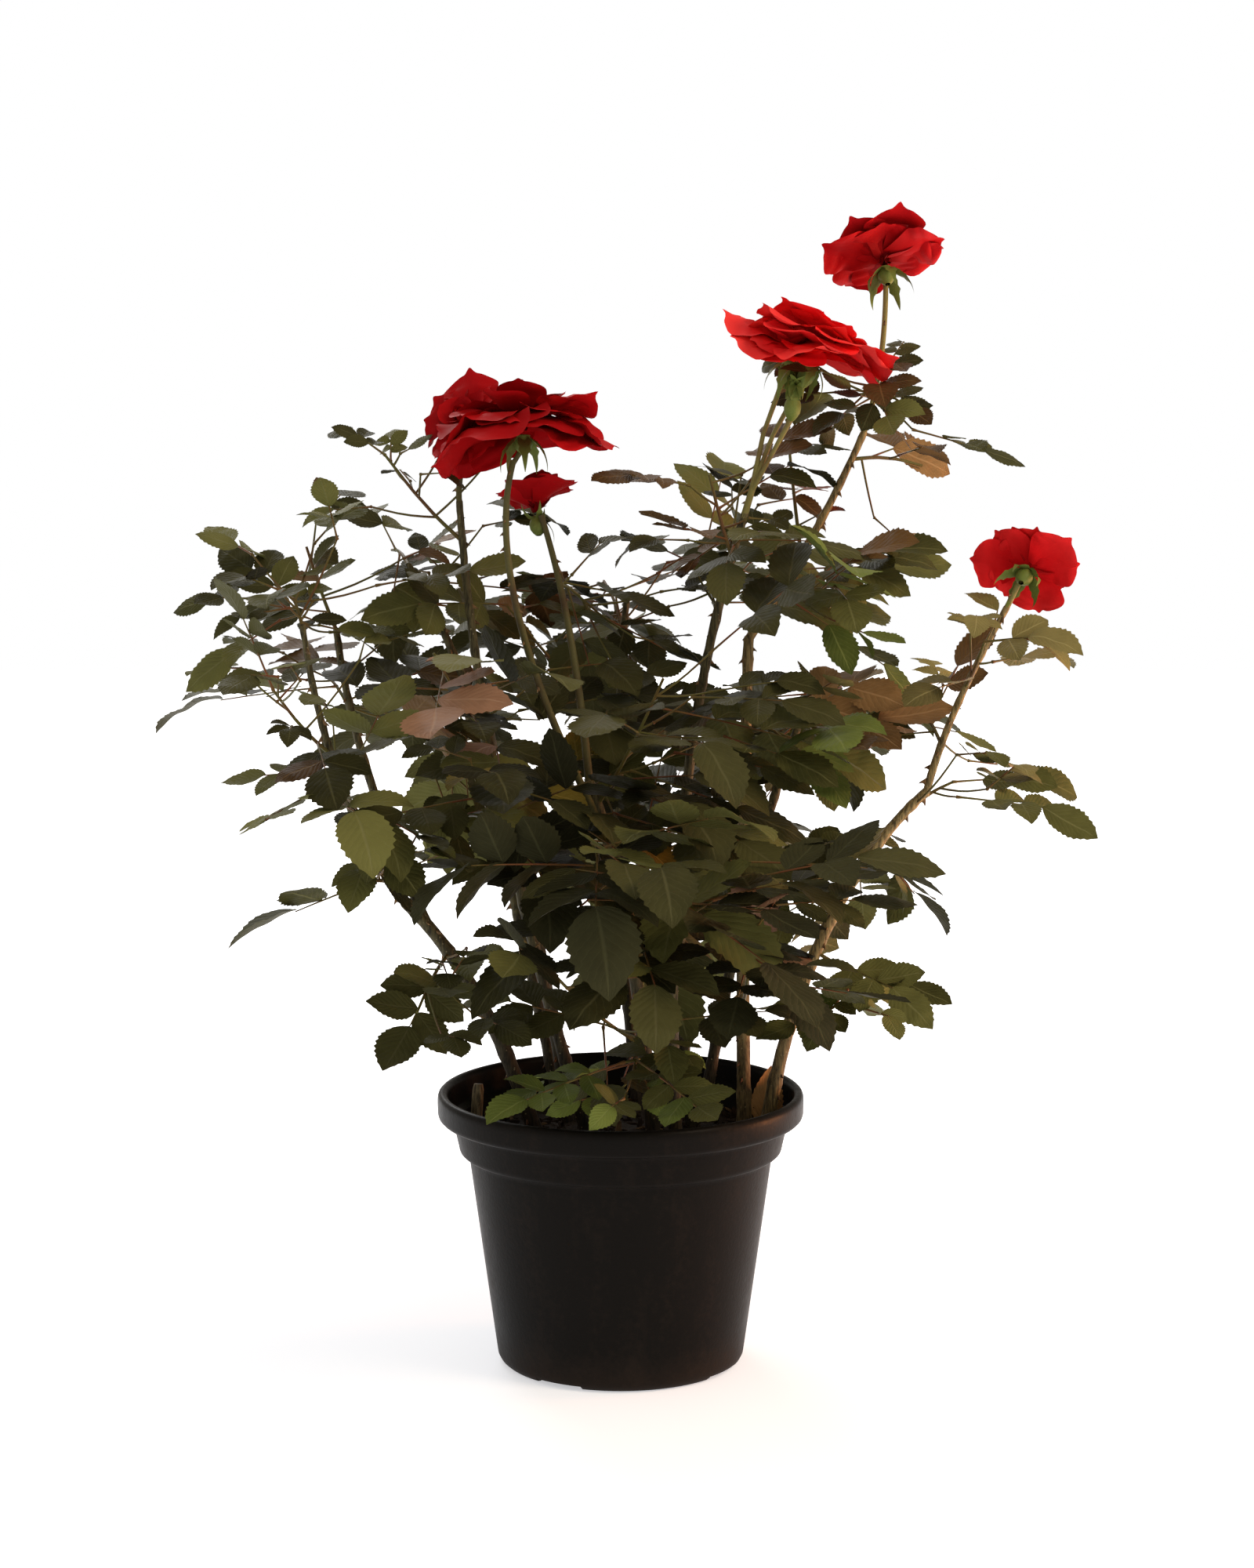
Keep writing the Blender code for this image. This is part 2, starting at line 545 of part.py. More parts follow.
def fused(thing, pieces):
    """Joins the pieces to the thing with one Boolean, applies it and drops loose scraps."""
    union = thing.modifiers.new("Fuse", "BOOLEAN")
    union.operation = "UNION"
    union.operand_type = "COLLECTION"
    union.collection = pieces
    union.solver = "EXACT"
    graph = bpy.context.evaluated_depsgraph_get()
    mesh = bpy.data.meshes.new_from_object(thing.evaluated_get(graph))
    thing.modifiers.clear()
    thing.data = mesh
    for piece in list(pieces.objects):
        bpy.data.objects.remove(piece)
    bm = bmesh.new()
    bm.from_mesh(mesh)
    bmesh.ops.remove_doubles(bm, verts=bm.verts, dist=1e-6)
    bmesh.ops.dissolve_degenerate(bm, edges=bm.edges, dist=1e-6)
    bmesh.ops.triangulate(bm, faces=bm.faces)
    groups, seen = [], set()
    for face in bm.faces:
        if face in seen:
            continue
        group, edge = [], [face]
        seen.add(face)
        while edge:
            here = edge.pop()
            group.append(here)
            for side in here.edges:
                for other in side.link_faces:
                    if other not in seen and len(side.link_faces) == 2:
                        seen.add(other)
                        edge.append(other)
        groups.append(group)
    groups.sort(key=len)
    loose = [face for group in groups[:-1] for face in group]
    bmesh.ops.delete(bm, geom=loose, context="FACES")
    bm.to_mesh(mesh)
    bm.free()
    return len(groups) - 1


def painted(thing, colour, roughness, metallic=0.0):
    material = bpy.data.materials.new(thing.name)
    material.use_nodes = True
    shader = material.node_tree.nodes["Principled BSDF"]
    shader.inputs["Base Color"].default_value = (*colour, 1)
    shader.inputs["Roughness"].default_value = roughness
    shader.inputs["Metallic"].default_value = metallic
    thing.data.materials.clear()
    thing.data.materials.append(material)


# ---------------------------------------------------------------- pot and soil
def pot_profile():
    """Radius and height from the middle of the floor up the inner wall, over the lip and down to the underside."""
    top, lip, collar = POT_HEIGHT, POT_LIP_RADIUS, POT_COLLAR_RADIUS
    body, base, wall, floor = POT_BODY_TOP_RADIUS, POT_BASE_RADIUS, POT_WALL, POT_FLOOR
    inside = [(0, floor), (base - 4 * MM, floor), (base - wall + 0.1 * MM, floor + 3 * MM),
              (body - wall - 0.1 * MM, 137.8 * MM), (collar - 6.2 * MM, 144 * MM),
              (collar - wall - 0.2 * MM, top - 20.4 * MM), (lip - 7.5 * MM, top - 13 * MM)]
    rolled = [(lip - 6.5 * MM, top - 2 * MM), (lip - 3.7 * MM, top), (lip - 0.9 * MM, top - 1.4 * MM),
              (lip, top - 6 * MM), (lip - 0.3 * MM, top - 14 * MM), (lip - 3.3 * MM, top - 17.8 * MM)]
    outside = [(collar, top - 20.6 * MM), (collar - 3.5 * MM, 144.2 * MM), (collar - 4.8 * MM, 141.4 * MM),
               (body, 139.6 * MM), (base + 0.1 * MM, 8 * MM),
               (base - 2.1 * MM, 2.4 * MM), (base - 7 * MM, 0), (0, 0)]
    return inside + rolled + outside


def soil_profile():
    """The soil fills the pot to SOIL_TOP and stays SOIL_CLEAR off its wall and floor."""
    clear, body, base = SOIL_CLEAR, POT_BODY_TOP_RADIUS - POT_WALL, POT_BASE_RADIUS - POT_WALL
    return [(0, SOIL_TOP), (body + 3.5 * MM, SOIL_TOP), (body + 6.4 * MM, SOIL_TOP - 0.8 * MM),
            (body + 5.5 * MM, SOIL_TOP - 5.4 * MM), (body - 0.1 * MM - clear, 138.2 * MM),
            (base - 2.4 * MM, POT_FLOOR + clear), (0, POT_FLOOR + clear)]


def turned_solid(name, profile, steps, collection):
    """A profile in radius and height turned once round Z."""
    bm = bmesh.new()
    verts = [bm.verts.new((r, 0, z)) for r, z in profile]
    for a, b in zip(verts, verts[1:]):
        bm.edges.new((a, b))
    thing = new_object(name, mesh_from(bm, name), collection)
    screw = thing.modifiers.new("Turn", "SCREW")
    screw.steps = screw.render_steps = steps
    screw.use_merge_vertices = True
    screw.merge_threshold = 0.00001
    screw.use_smooth_shade = False
    return thing


def build_pot(parts, cutters):
    pot = turned_solid("pot", pot_profile(), TURN_STEPS, parts)
    for k in range(NOTCHES):
        bpy.ops.mesh.primitive_cube_add(size=1)
        notch = bpy.context.object
        notch.name = f"notch_cutter_{k}"
        angle = NOTCH_TURN - math.pi / 2 + k * math.tau / NOTCHES
        notch.scale = (30 * MM, NOTCH_WIDTH, 2 * NOTCH_HEIGHT)
        notch.rotation_euler.z = angle
        notch.location = (math.cos(angle) * 75 * MM, math.sin(angle) * 75 * MM, 0)
        for old in notch.users_collection:
            old.objects.unlink(notch)
        cutters.objects.link(notch)
        notch.hide_render = True
        notch.display_type = "WIRE"
        cut = pot.modifiers.new(f"Notch {k}", "BOOLEAN")
        cut.operation = "DIFFERENCE"
        cut.object = notch
        cut.solver = "EXACT"
    painted(pot, (0.012, 0.011, 0.010), 0.42)
    return pot


def build_soil(parts):
    soil = turned_solid("soil", soil_profile(), TURN_STEPS, parts)
    painted(soil, (0.020, 0.014, 0.010), 0.95)
    return soil


def build_stub(parts):
    """The short dead cane left standing near the pot's wall."""
    foot, top = Vector((-97 * MM, 8 * MM, SOIL_TOP - 10 * MM)), Vector((-94 * MM, 12 * MM, 182 * MM))
    bm = tube_mesh("dead_stub", [foot, (foot + top) / 2, top], [4.2 * MM, 3.9 * MM, 3.6 * MM], 2, parts)
    trimmed(bm, Vector((0, 0, SOIL_TOP + GAP)), UP)
    stub = new_object("dead_stub", mesh_from(bm, "dead_stub"), parts)
    painted(stub, (0.24, 0.18, 0.11), 0.9)


# ---------------------------------------------------------------- canes, masses and blooms
CANE_LOW, CANE_HIGH = (0.060, 0.035, 0.022), (0.130, 0.120, 0.045)


def build_canes(limbs, parts):
    for name in CANES:
        limb = limbs[name]
        long = (limb["tip"] - limb["start"]).length > 0.2
        cane = new_object(name, mesh_from(limb_mesh(name, limb, limbs, parts, 7 if long else 5, 1), name), parts)
        painted(cane, CANE_LOW if limb["parent"] is None else CANE_HIGH, 0.7)


LEAF_COLOURS = ((0.030, 0.036, 0.012), (0.040, 0.052, 0.015), (0.055, 0.066, 0.020), (0.048, 0.044, 0.016))
OWN_COLOURS = {"new_growth": (0.130, 0.045, 0.022), "right_brown": (0.150, 0.085, 0.035),
               "sprig_front": (0.120, 0.150, 0.040), "far_left_high": (0.075, 0.100, 0.025)}


def build_mass(name, mass, limbs, blank, parts, pieces):
    shoot = mass["shoot"]
    stem = new_object(name, mesh_from(limb_mesh(name, shoot, limbs, parts, STEM_RUNS, 0), name), parts)
    for leaf in mass["leaves"]:
        way = leaf["along"]
        foot, end = leaf["origin"] - way * 0.2 * MM, leaf["origin"] + way * (leaf["reach"] + 0.6 * MM)
        add_rib(foot, end, leaf["face"], RIB, 0.85 * RIB, pieces)
        for blade in leaf["leaflets"]:
            add_blade(blade_frame(blade), blade["length"] + ROOT, blade["length"] * LEAF_WIDTH,
                      LEAF_THICK, blank, pieces)
    scraps = fused(stem, pieces)
    if scraps:
        print(name, "dropped", scraps, "loose pieces")
    painted(stem, OWN_COLOURS.get(name, LEAF_COLOURS[len(name) % 4]), 0.55)


# A flower's profile from its underside up to its heart: share of its size, rise when open and when a
# bud (degrees), and how deep the rim is parted into five petals (0 in the hollows between rims).
PETAL_RINGS = ((0.50, 2, 40, 0.0), (1.00, 12, 58, 0.24), (0.58, 20, 64, 0.0), (0.86, 44, 72, 0.22),
               (0.40, 60, 80, 0.0))
PETAL_STEPS = 15


def add_rosette(frame, size, openness, collection):
    """All the petals as one closed form: two parted rims, one inside the other, round a small heart."""
    bm = bmesh.new()
    bmesh.ops.create_uvsphere(bm, u_segments=PETAL_STEPS, v_segments=len(PETAL_RINGS) + 1, radius=1)
    for vert in bm.verts:
        level = round((math.asin(max(-1, min(1, vert.co.z))) / math.pi + 0.5) * (len(PETAL_RINGS) + 1))
        angle = math.atan2(vert.co.y, vert.co.x)
        if level in (0, len(PETAL_RINGS) + 1):
            vert.co = (0, 0, (0.44 if level else -0.03) * size)
            continue
        share, spread, closed, parting = PETAL_RINGS[level - 1]
        lobe = math.cos(5 * (angle + level * 0.31))
        reach = share * size * (1 - parting * (0.5 - 0.5 * lobe))
        rise = math.radians(closed + (spread - closed) * openness - 26 * parting * lobe)
        flat = reach * math.cos(rise)
        vert.co = (flat * math.cos(angle), flat * math.sin(angle), reach * math.sin(rise))
    bmesh.ops.recalc_face_normals(bm, faces=bm.faces)
    mesh = mesh_from(bm, "petals")
    mesh.transform(frame)
    return new_object("petals", mesh, collection)


def add_ball(frame, wide, tall, lift, segments, rings, collection):
    ball = bmesh.new()
    bmesh.ops.create_uvsphere(ball, u_segments=segments, v_segments=rings, radius=1)
    place = frame @ Matrix.Translation((0, 0, lift)) @ Matrix.Diagonal((wide, wide, tall, 1))
    bmesh.ops.transform(ball, verts=ball.verts, matrix=place)
    return new_object("ball", mesh_from(ball, "ball"), collection)


def add_flower(frame, size, openness, blank, pieces):
    """A hip, five sepals under it, and the petals, which stand up in a bud and lie out in a bloom."""
    add_ball(frame, 4.8 * MM, 6.4 * MM, -2 * MM, 6, 4, pieces)
    add_rosette(frame, size, openness, pieces)
    for turn, rise in sepal_turns(openness):
        add_blade(spoke(frame, turn, rise), sepal_length(size), 7 * MM, MM, blank, pieces)


def build_bloom(name, limbs, blank, parts, pieces):
    stalk = limbs[name]
    long = (stalk["tip"] - stalk["start"]).length > 0.1
    body = new_object(name, mesh_from(limb_mesh(name, stalk, limbs, parts, 6 if long else 3, 0), name), parts)
    for frame, size, openness, k in flower_frames(name, stalk):
        if (frame.translation - stalk["tip"]).length > MM:
            bm = tube_mesh("pedicel", pedicel_path(stalk, frame), [1.8 * MM, 1.6 * MM, 1.6 * MM], 0, parts)
            new_object("pedicel", mesh_from(bm, "pedicel"), pieces)
        add_flower(frame, size, openness, blank, pieces)
    scraps = fused(body, pieces)
    if scraps:
        print(name, "dropped", scraps, "loose pieces")
    painted(body, CANE_HIGH, 0.6)
    petal = bpy.data.materials.new(name + "_petals")
    petal.use_nodes = True
    petal.node_tree.nodes["Principled BSDF"].inputs["Base Color"].default_value = (0.42, 0.012, 0.014, 1)
    petal.node_tree.nodes["Principled BSDF"].inputs["Roughness"].default_value = 0.55
    body.data.materials.append(petal)
    for face in body.data.polygons:
        for frame, size, openness, k in flower_frames(name, stalk):
            place = frame.inverted() @ face.center
            if place.z > -0.4 * MM and place.length < 1.1 * size:
                face.material_index = 1


def build():
    clear_scene()
    parts = bpy.data.collections.new("potted_rose_bush")
    cutters = bpy.data.collections.new("cutters")
    pieces = bpy.data.collections.new("pieces")
    for collection in (parts, cutters, pieces):
        bpy.context.scene.collection.children.link(collection)
    build_pot(parts, cutters)
    build_soil(parts)
    build_stub(parts)
    limbs = grow_limbs()
    build_canes(limbs, parts)
    blank = leaf_blank()
    masses = grow_masses(limbs)
    limbs.update({name: mass["shoot"] for name, mass in masses.items()})
    for name in BLOOMS:
        build_bloom(name, limbs, blank, parts, pieces)
    for name, mass in masses.items():
        build_mass(name, mass, limbs, blank, parts, pieces)
    bpy.data.collections.remove(pieces)
    bpy.data.meshes.remove(blank)
    print("leaflets", sum(len(leaf["leaflets"]) for mass in masses.values() for leaf in mass["leaves"]))


build()
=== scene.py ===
# %% [markdown]
# # A potted rose bush
# A garden-centre rose: prickly canes in a black nursery pot, double red blooms, and leaves of
# three to seven toothed leaflets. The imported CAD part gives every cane, mass of leaves, bloom and
# the pot as plain solids. This lesson loads them as a fixed frame, then grows the finished plant
# over them by the same rule, so each leaf lies where its solid lies.

# %% Load the frame and keep its size
import json
import math
import random

import bmesh
import bpy
from mathutils import Matrix, Quaternion, Vector
from mathutils.bvhtree import BVHTree

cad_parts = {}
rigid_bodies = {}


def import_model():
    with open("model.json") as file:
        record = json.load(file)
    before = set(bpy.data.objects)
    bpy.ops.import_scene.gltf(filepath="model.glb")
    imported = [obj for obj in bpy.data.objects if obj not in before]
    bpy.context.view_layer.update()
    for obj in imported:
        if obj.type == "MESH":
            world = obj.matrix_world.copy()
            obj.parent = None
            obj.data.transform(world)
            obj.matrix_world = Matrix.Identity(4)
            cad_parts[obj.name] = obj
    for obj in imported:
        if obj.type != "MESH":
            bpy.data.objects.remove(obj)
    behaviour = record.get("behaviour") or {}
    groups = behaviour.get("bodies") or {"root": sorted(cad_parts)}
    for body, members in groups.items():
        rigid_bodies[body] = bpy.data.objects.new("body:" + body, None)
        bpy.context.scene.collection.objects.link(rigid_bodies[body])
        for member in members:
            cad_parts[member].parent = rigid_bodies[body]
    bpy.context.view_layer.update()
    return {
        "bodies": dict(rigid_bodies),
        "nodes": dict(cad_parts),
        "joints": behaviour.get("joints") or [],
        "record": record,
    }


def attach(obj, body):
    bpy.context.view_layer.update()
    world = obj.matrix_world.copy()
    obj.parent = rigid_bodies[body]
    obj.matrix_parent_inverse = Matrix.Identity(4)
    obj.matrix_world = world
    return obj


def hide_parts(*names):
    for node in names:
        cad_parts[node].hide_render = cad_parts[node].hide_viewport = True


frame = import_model()

MM = 0.001
UP = Vector((0, 0, 1))


# %% [markdown]
# Edit-mode operators act on whatever is selected, and the loaded frame starts out selected. Small
# helpers keep that in hand: they make one object active, open it in edit mode with all of it
# selected, pick vertices by their place, turn the faces outward and close it again.

# %% Helpers for modelling by hand
def deselect():
    bpy.ops.object.select_all(action="DESELECT")


def only(thing):
    """Selects one object, and nothing else."""
    deselect()
    thing.select_set(True)
    bpy.context.view_layer.objects.active = thing


def edit(thing):
    """Opens one object in edit mode, with all of it selected."""
    only(thing)
    bpy.ops.object.mode_set(mode="EDIT")
    bpy.ops.mesh.select_all(action="SELECT")


def done():
    bpy.ops.object.mode_set(mode="OBJECT")


def outward():
    """Turns every face outward, and leaves edit mode."""
    bpy.ops.mesh.select_all(action="SELECT")
    bpy.ops.mesh.normals_make_consistent(inside=False)
    done()


def pick(test):
    """In edit mode: selects the vertices whose place passes the test."""
    bpy.ops.mesh.select_all(action="DESELECT")
    bpy.context.tool_settings.mesh_select_mode = (True, False, False)
    shape = bmesh.from_edit_mesh(bpy.context.object.data)
    for vert in shape.verts:
        vert.select = bool(test(vert.co))
    shape.select_flush_mode()
    bmesh.update_edit_mesh(bpy.context.object.data)


def lathe(wide, level, line):
    """Draws the open rim of a round piece on through each radius and height of a line."""
    for radius, height in line:
        grow = radius / wide
        bpy.ops.mesh.extrude_edges_move(TRANSFORM_OT_translate={"value": (0, 0, height - level)})
        bpy.ops.transform.resize(value=(grow, grow, 1), center_override=(0, 0, height))
        wide, level = radius, height


def smooth(thing):
    only(thing)
    bpy.ops.object.shade_smooth()


def apply_modifier(thing, kind, **settings):
    """Adds one modifier, gives it its settings and applies it."""
    only(thing)
    modifier = thing.modifiers.new(kind.title(), kind)
    for key, value in settings.items():
        setattr(modifier, key, value)
    bpy.ops.object.modifier_apply(modifier=modifier.name)


def roughen(thing, size, strength, depth=2, **more):
    """Pushes the surface in and out by cloud noise of one size."""
    texture = bpy.data.textures.new("clouds", "CLOUDS")
    texture.noise_scale, texture.noise_depth = size, depth
    apply_modifier(thing, "DISPLACE", texture=texture, texture_coords="LOCAL", strength=strength,
                   mid_level=0.5, **more)


def settle(thing, name):
    """Puts the piece's place into its mesh and names it."""
    only(thing)
    bpy.ops.object.transform_apply(location=True, rotation=True, scale=True)
    thing.name = thing.data.name = name
    return thing


def copied(form, matrix, material, tone=None):
    """A copy of a form with its own mesh, put in its place."""
    mesh = form.data.copy()
    mesh.transform(matrix)
    if matrix.determinant() < 0:
        mesh.flip_normals()
    if tone is not None:
        mesh.attributes["tone"].data.foreach_set("value", [tone] * len(mesh.vertices))
    mesh.materials.clear()
    mesh.materials.append(material)
    copy = bpy.data.objects.new(form.name, mesh)
    bpy.context.scene.collection.objects.link(copy)
    return copy


def join(things, name):
    """Joins copies into one piece."""
    only(things[0])
    for thing in things:
        thing.select_set(True)
    bpy.ops.object.join()
    joined = bpy.context.object
    joined.name = joined.data.name = name
    return joined


def show(thing, material, *nodes, slot):
    """Gives a piece its material, unless its copies brought theirs, puts it on the root body and hides the solids it
    stands for.
    """
    if material:
        thing.data.materials.clear()
        thing.data.materials.append(material)
    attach(thing, "root")
    if nodes:
        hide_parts(*nodes)
    print(thing.name, "faces:", len(thing.data.polygons))


# %% [markdown]
# Leaves, petals and sepals are put in place by frames, which are four by four matrices. Two helpers
# make one: from two of its axes, or from the way that its z axis looks.

# %% Helpers for places
def axes(way, side, origin):
    """The frame whose x axis lies along way and whose y axis lies along side."""
    frame = Matrix((way, side, way.cross(side))).transposed().to_4x4()
    frame.translation = origin
    return frame


def facing(way, origin):
    """The frame whose z axis looks the given way."""
    frame = Vector(way).to_track_quat("Z", "Y").to_matrix().to_4x4()
    frame.translation = origin
    return frame


def turned(vector, axis, angle):
    return Quaternion(axis, angle) @ vector


def scaled(x, y, z):
    return Matrix.Diagonal((x, y, z, 1))


# %% [markdown]
# Every material is a small node tree. Colours are written as sRGB hex, the way a paint chart gives
# them, and turned to linear here. Patterns read Object coordinates, which are metres, so a noise
# scale of 1 / size makes features of that size.

# %% Helpers for materials
def linear(code):
    """An sRGB hex colour as linear RGBA."""
    values = [int(code[k:k + 2], 16) / 255 for k in (1, 3, 5)]
    return (*[v / 12.92 if v <= 0.04045 else ((v + 0.055) / 1.055) ** 2.4 for v in values], 1)


def add(tree, kind, settings=None, inputs=None):
    """Adds one node with its settings, its values and its links."""
    made = tree.nodes.new(kind)
    for key, value in (settings or {}).items():
        setattr(made, key, value)
    for key, value in (inputs or {}).items():
        if isinstance(value, bpy.types.NodeSocket):
            tree.links.new(value, made.inputs[key])
        else:
            made.inputs[key].default_value = value
    return made


def fresh(name, **values):
    """A new material with one Principled shader, whose constants are set on its own sockets."""
    material = bpy.data.materials.new(name)
    material.use_nodes = True
    shader = material.node_tree.nodes["Principled BSDF"]
    for key, value in values.items():
        shader.inputs[key.replace("_", " ")].default_value = value
    return material, material.node_tree, shader


def place_on(tree, at="Object"):
    return add(tree, "ShaderNodeTexCoord").outputs[at]


def parts_of(tree, place):
    """The place's X, Y and Z, each a socket of its own."""
    return add(tree, "ShaderNodeSeparateXYZ", inputs={0: place}).outputs


def own_tone(tree):
    """The number that each leaflet and petal carries as its tone."""
    return add(tree, "ShaderNodeAttribute", {"attribute_name": "tone"}).outputs["Fac"]


def speckle(tree, size, detail=3, stretch=(1, 1, 1), rough=0.55, at="Object"):
    """Noise with features of one size in metres, or of a share of the UV map."""
    mapping = add(tree, "ShaderNodeMapping", inputs={"Vector": place_on(tree, at), "Scale": stretch})
    noise = add(tree, "ShaderNodeTexNoise", inputs={"Vector": mapping.outputs[0], "Scale": 1 / size,
                                                    "Detail": detail, "Roughness": rough})
    return noise.outputs["Fac"]


def ramp(tree, value, *stops):
    """A colour ramp; each stop is a place and a hex colour."""
    made = add(tree, "ShaderNodeValToRGB", inputs={"Fac": value})
    spots = made.color_ramp.elements
    while len(spots) < len(stops):
        spots.new(0.5)
    for spot, (place, code) in zip(spots, stops):
        spot.position, spot.color = place, linear(code)
    return made.outputs["Color"]


def mix(tree, share, first, second, how="MIX"):
    """Mixes two colours; each may be a hex code or a socket."""
    first, second = [linear(c) if isinstance(c, str) else c for c in (first, second)]
    node = add(tree, "ShaderNodeMix", {"data_type": "RGBA", "blend_type": how})
    for key, value in (("Factor_Float", share), ("A_Color", first), ("B_Color", second)):
        socket = next(s for s in node.inputs if s.identifier == key)
        if isinstance(value, bpy.types.NodeSocket):
            tree.links.new(value, socket)
        else:
            socket.default_value = value
    return next(s for s in node.outputs if s.identifier == "Result_Color")


def sums(tree, how, first, second, third=0.0):
    """One step of arithmetic on sockets or numbers."""
    return add(tree, "ShaderNodeMath", {"operation": how}, {0: first, 1: second, 2: third}).outputs[0]


def remap(tree, value, start=0.0, end=1.0, low=0.0, high=1.0):
    """Carries the range from start to end over to the range from low to high."""
    return add(tree, "ShaderNodeMapRange", inputs={0: value, 1: start, 2: end, 3: low, 4: high}).outputs[0]


def coat(tree, shader, colour, height, depth, gloss=None):
    """Links the colour, a bump whose depth is in metres, and the roughness if it varies."""
    tree.links.new(colour, shader.inputs["Base Color"])
    if gloss is not None:
        tree.links.new(gloss, shader.inputs["Roughness"])
    bump = add(tree, "ShaderNodeBump", inputs={"Height": height, "Distance": depth, "Strength": 1.0})
    tree.links.new(bump.outputs["Normal"], shader.inputs["Normal"])


# %% [markdown]
# ## The growth rule
# The canes, stalks and shoots are bows between two points, and each shoot carries leaves two fifths
# of a turn apart. The tables and the dice are those of the part's source, written again here, so
# the same seed gives the same leaf in the same place.

# %% Sizes of the pot, the soil and the leaves
POT_HEIGHT = 181 * MM
POT_LIP_RADIUS = 120.3 * MM
POT_COLLAR_RADIUS = 109.8 * MM
POT_BODY_TOP_RADIUS = 99.7 * MM
POT_BASE_RADIUS = 81.5 * MM
POT_WALL = 2.2 * MM
POT_FLOOR = 6 * MM
NOTCHES = 4
NOTCH_TURN = math.radians(-31)
NOTCH_WIDTH = 34 * MM
NOTCH_HEIGHT = 3 * MM
SOIL_TOP = 150 * MM
TURN = math.radians(144)    # from one leaf to the next round a shoot
LEAF_WIDTH = 0.64           # of a leaflet's length
LEAF_THICK = 1.4 * MM
ROOT = 0.35 * MM            # how far a leaflet's base is sunk past its rib's middle
RIB = 1.3 * MM              # radius of a leaf's three-sided rib at its foot
STAGGER = 1.6 * MM          # half the step between the two leaflets of a pair
STEM_RUNS = 3               # straight runs in a shoot
SHOOT = (1.7, 1.1)          # radii of a shoot at its foot and at its tip, mm
TWIG = (1.0, 0.75)          # the same for a side twig
FOOT_LEAD, BOUGH_LEAD = 9 * MM, 3 * MM      # how deep a tube starts in the soil, and in its bearer
FLARE = 9 * MM              # height over which a cane's foot is flared
SEPALS = 5
POT_CLEAR = 4 * MM          # space kept free of leaves round the pot's lip

# %% Canes: parent, where on it (or the foot's x and y), bow, tip, radii in mm
CANES = {
    "cane_left": (None, (-0.055, -0.005), (0.005, 0.002, 0.013), (-0.139, -0.015, 0.308), (5.0, 4.0)),
    "left_outer": ("cane_left", 1.0, (-0.009, 0, -0.011), (-0.201, -0.045, 0.49), (3.5, 1.9)),
    "left_inner": ("cane_left", 0.86, (-0.01, 0.006, 0.003), (-0.186, 0.03, 0.481), (3.4, 2.2)),
    "cane_upper_left": (None, (-0.035, 0.045), (0.008, 0.01, 0.034), (-0.14, 0.055, 0.522), (4.2, 2.1)),
    "cane_bloom_left": (None, (-0.022, 0.005), (-0.015, -0.003, 0.014), (-0.104, 0.01, 0.566), (4.2, 2.2)),
    "cane_mid": (None, (0.022, -0.022), (0.003, -0.004, 0.027), (-0.02, -0.03, 0.388), (4.6, 3.4)),
    "cane_centre": (None, (0.036, -0.06), (-0.002, -0.005, 0.016), (0.033, -0.1, 0.318), (4.6, 3.6)),
    "cane_bloom_right": (None, (0.048, 0.022), (-0.023, -0.001, 0.002), (0.08, 0, 0.559), (4.4, 2.6)),
    "cane_top_right": (None, (0.082, 0.012), (-0.002, 0.006, 0.004), (0.084, 0.035, 0.475), (4.8, 3.4)),
    "bough_top_right": ("cane_top_right", 1.0, (0.003, 0, -0.002), (0.159, 0.045, 0.609), (3.0, 2.2)),
    "cane_far_right": (None, (0.094, -0.012), (-0.014, 0.001, 0.021), (0.199, 0, 0.379), (4.6, 3.0)),
    "bough_far_right": ("cane_far_right", 1.0, (-0.007, 0, -0.006), (0.248, -0.01, 0.499), (2.6, 1.9)),
    "cane_back_left": (None, (-0.04, 0.066), (-0.003, 0, 0.02), (-0.106, 0.135, 0.42), (4.2, 2.4)),
    "cane_back": (None, (0.012, 0.08), (-0.009, 0.005, 0.015), (0.004, 0.13, 0.493), (4.4, 2.2)),
    "cane_back_right": (None, (0.056, 0.062), (-0.004, -0.001, 0.017), (0.13, 0.13, 0.428), (4.2, 2.4)),
}

# %% Blooms: parent, where, bow, tip, radii in mm, [(offset, way it faces, size in mm, how open)]
BLOOMS = {
    "bloom_top_right": ("bough_top_right", 1.0, (0.004, 0.002, -0.004), (0.172, 0.04, 0.711), (1.9, 1.7), [
        ((0, 0, 0), (0, 0.62, 0.78), 44, 1.0)]),
    "blooms_right": ("cane_bloom_right", 1.0, (0, 0, 0), (0.085, 0, 0.576), (2.4, 2.2), [
        ((0.017, 0, 0.067), (-0.12, -0.15, 1), 35, 0.85),
        ((0.034, -0.006, 0.067), (0.55, -0.25, 0.8), 35, 0.95)]),
    "bloom_left_outer": ("cane_bloom_left", 1.0, (-0.001, 0, -0.002), (-0.102, 0.01, 0.59), (2.0, 1.9), [
        ((0, 0, 0), (-0.3, -0.75, 0.6), 42, 0.9)]),
    "bloom_left": ("cane_mid", 0.78, (-0.026, -0.007, 0.02), (-0.067, -0.045, 0.595), (2.6, 1.9), [
        ((0, 0, 0), (0.45, -0.45, 0.8), 48, 1.0)]),
    "bud_left": ("cane_mid", 1.0, (0.003, 0.005, 0.009), (-0.051, 0, 0.558), (2.8, 1.9), [
        ((0, 0, 0), (0.05, -0.12, 1), 27, 0.3)]),
    "bloom_far_right": ("bough_far_right", 1.0, (0, 0, 0), (0.257, -0.01, 0.518), (1.9, 1.8), [
        ((0, 0, 0), (0.12, 0.65, 0.75), 37, 1.0)]),
}

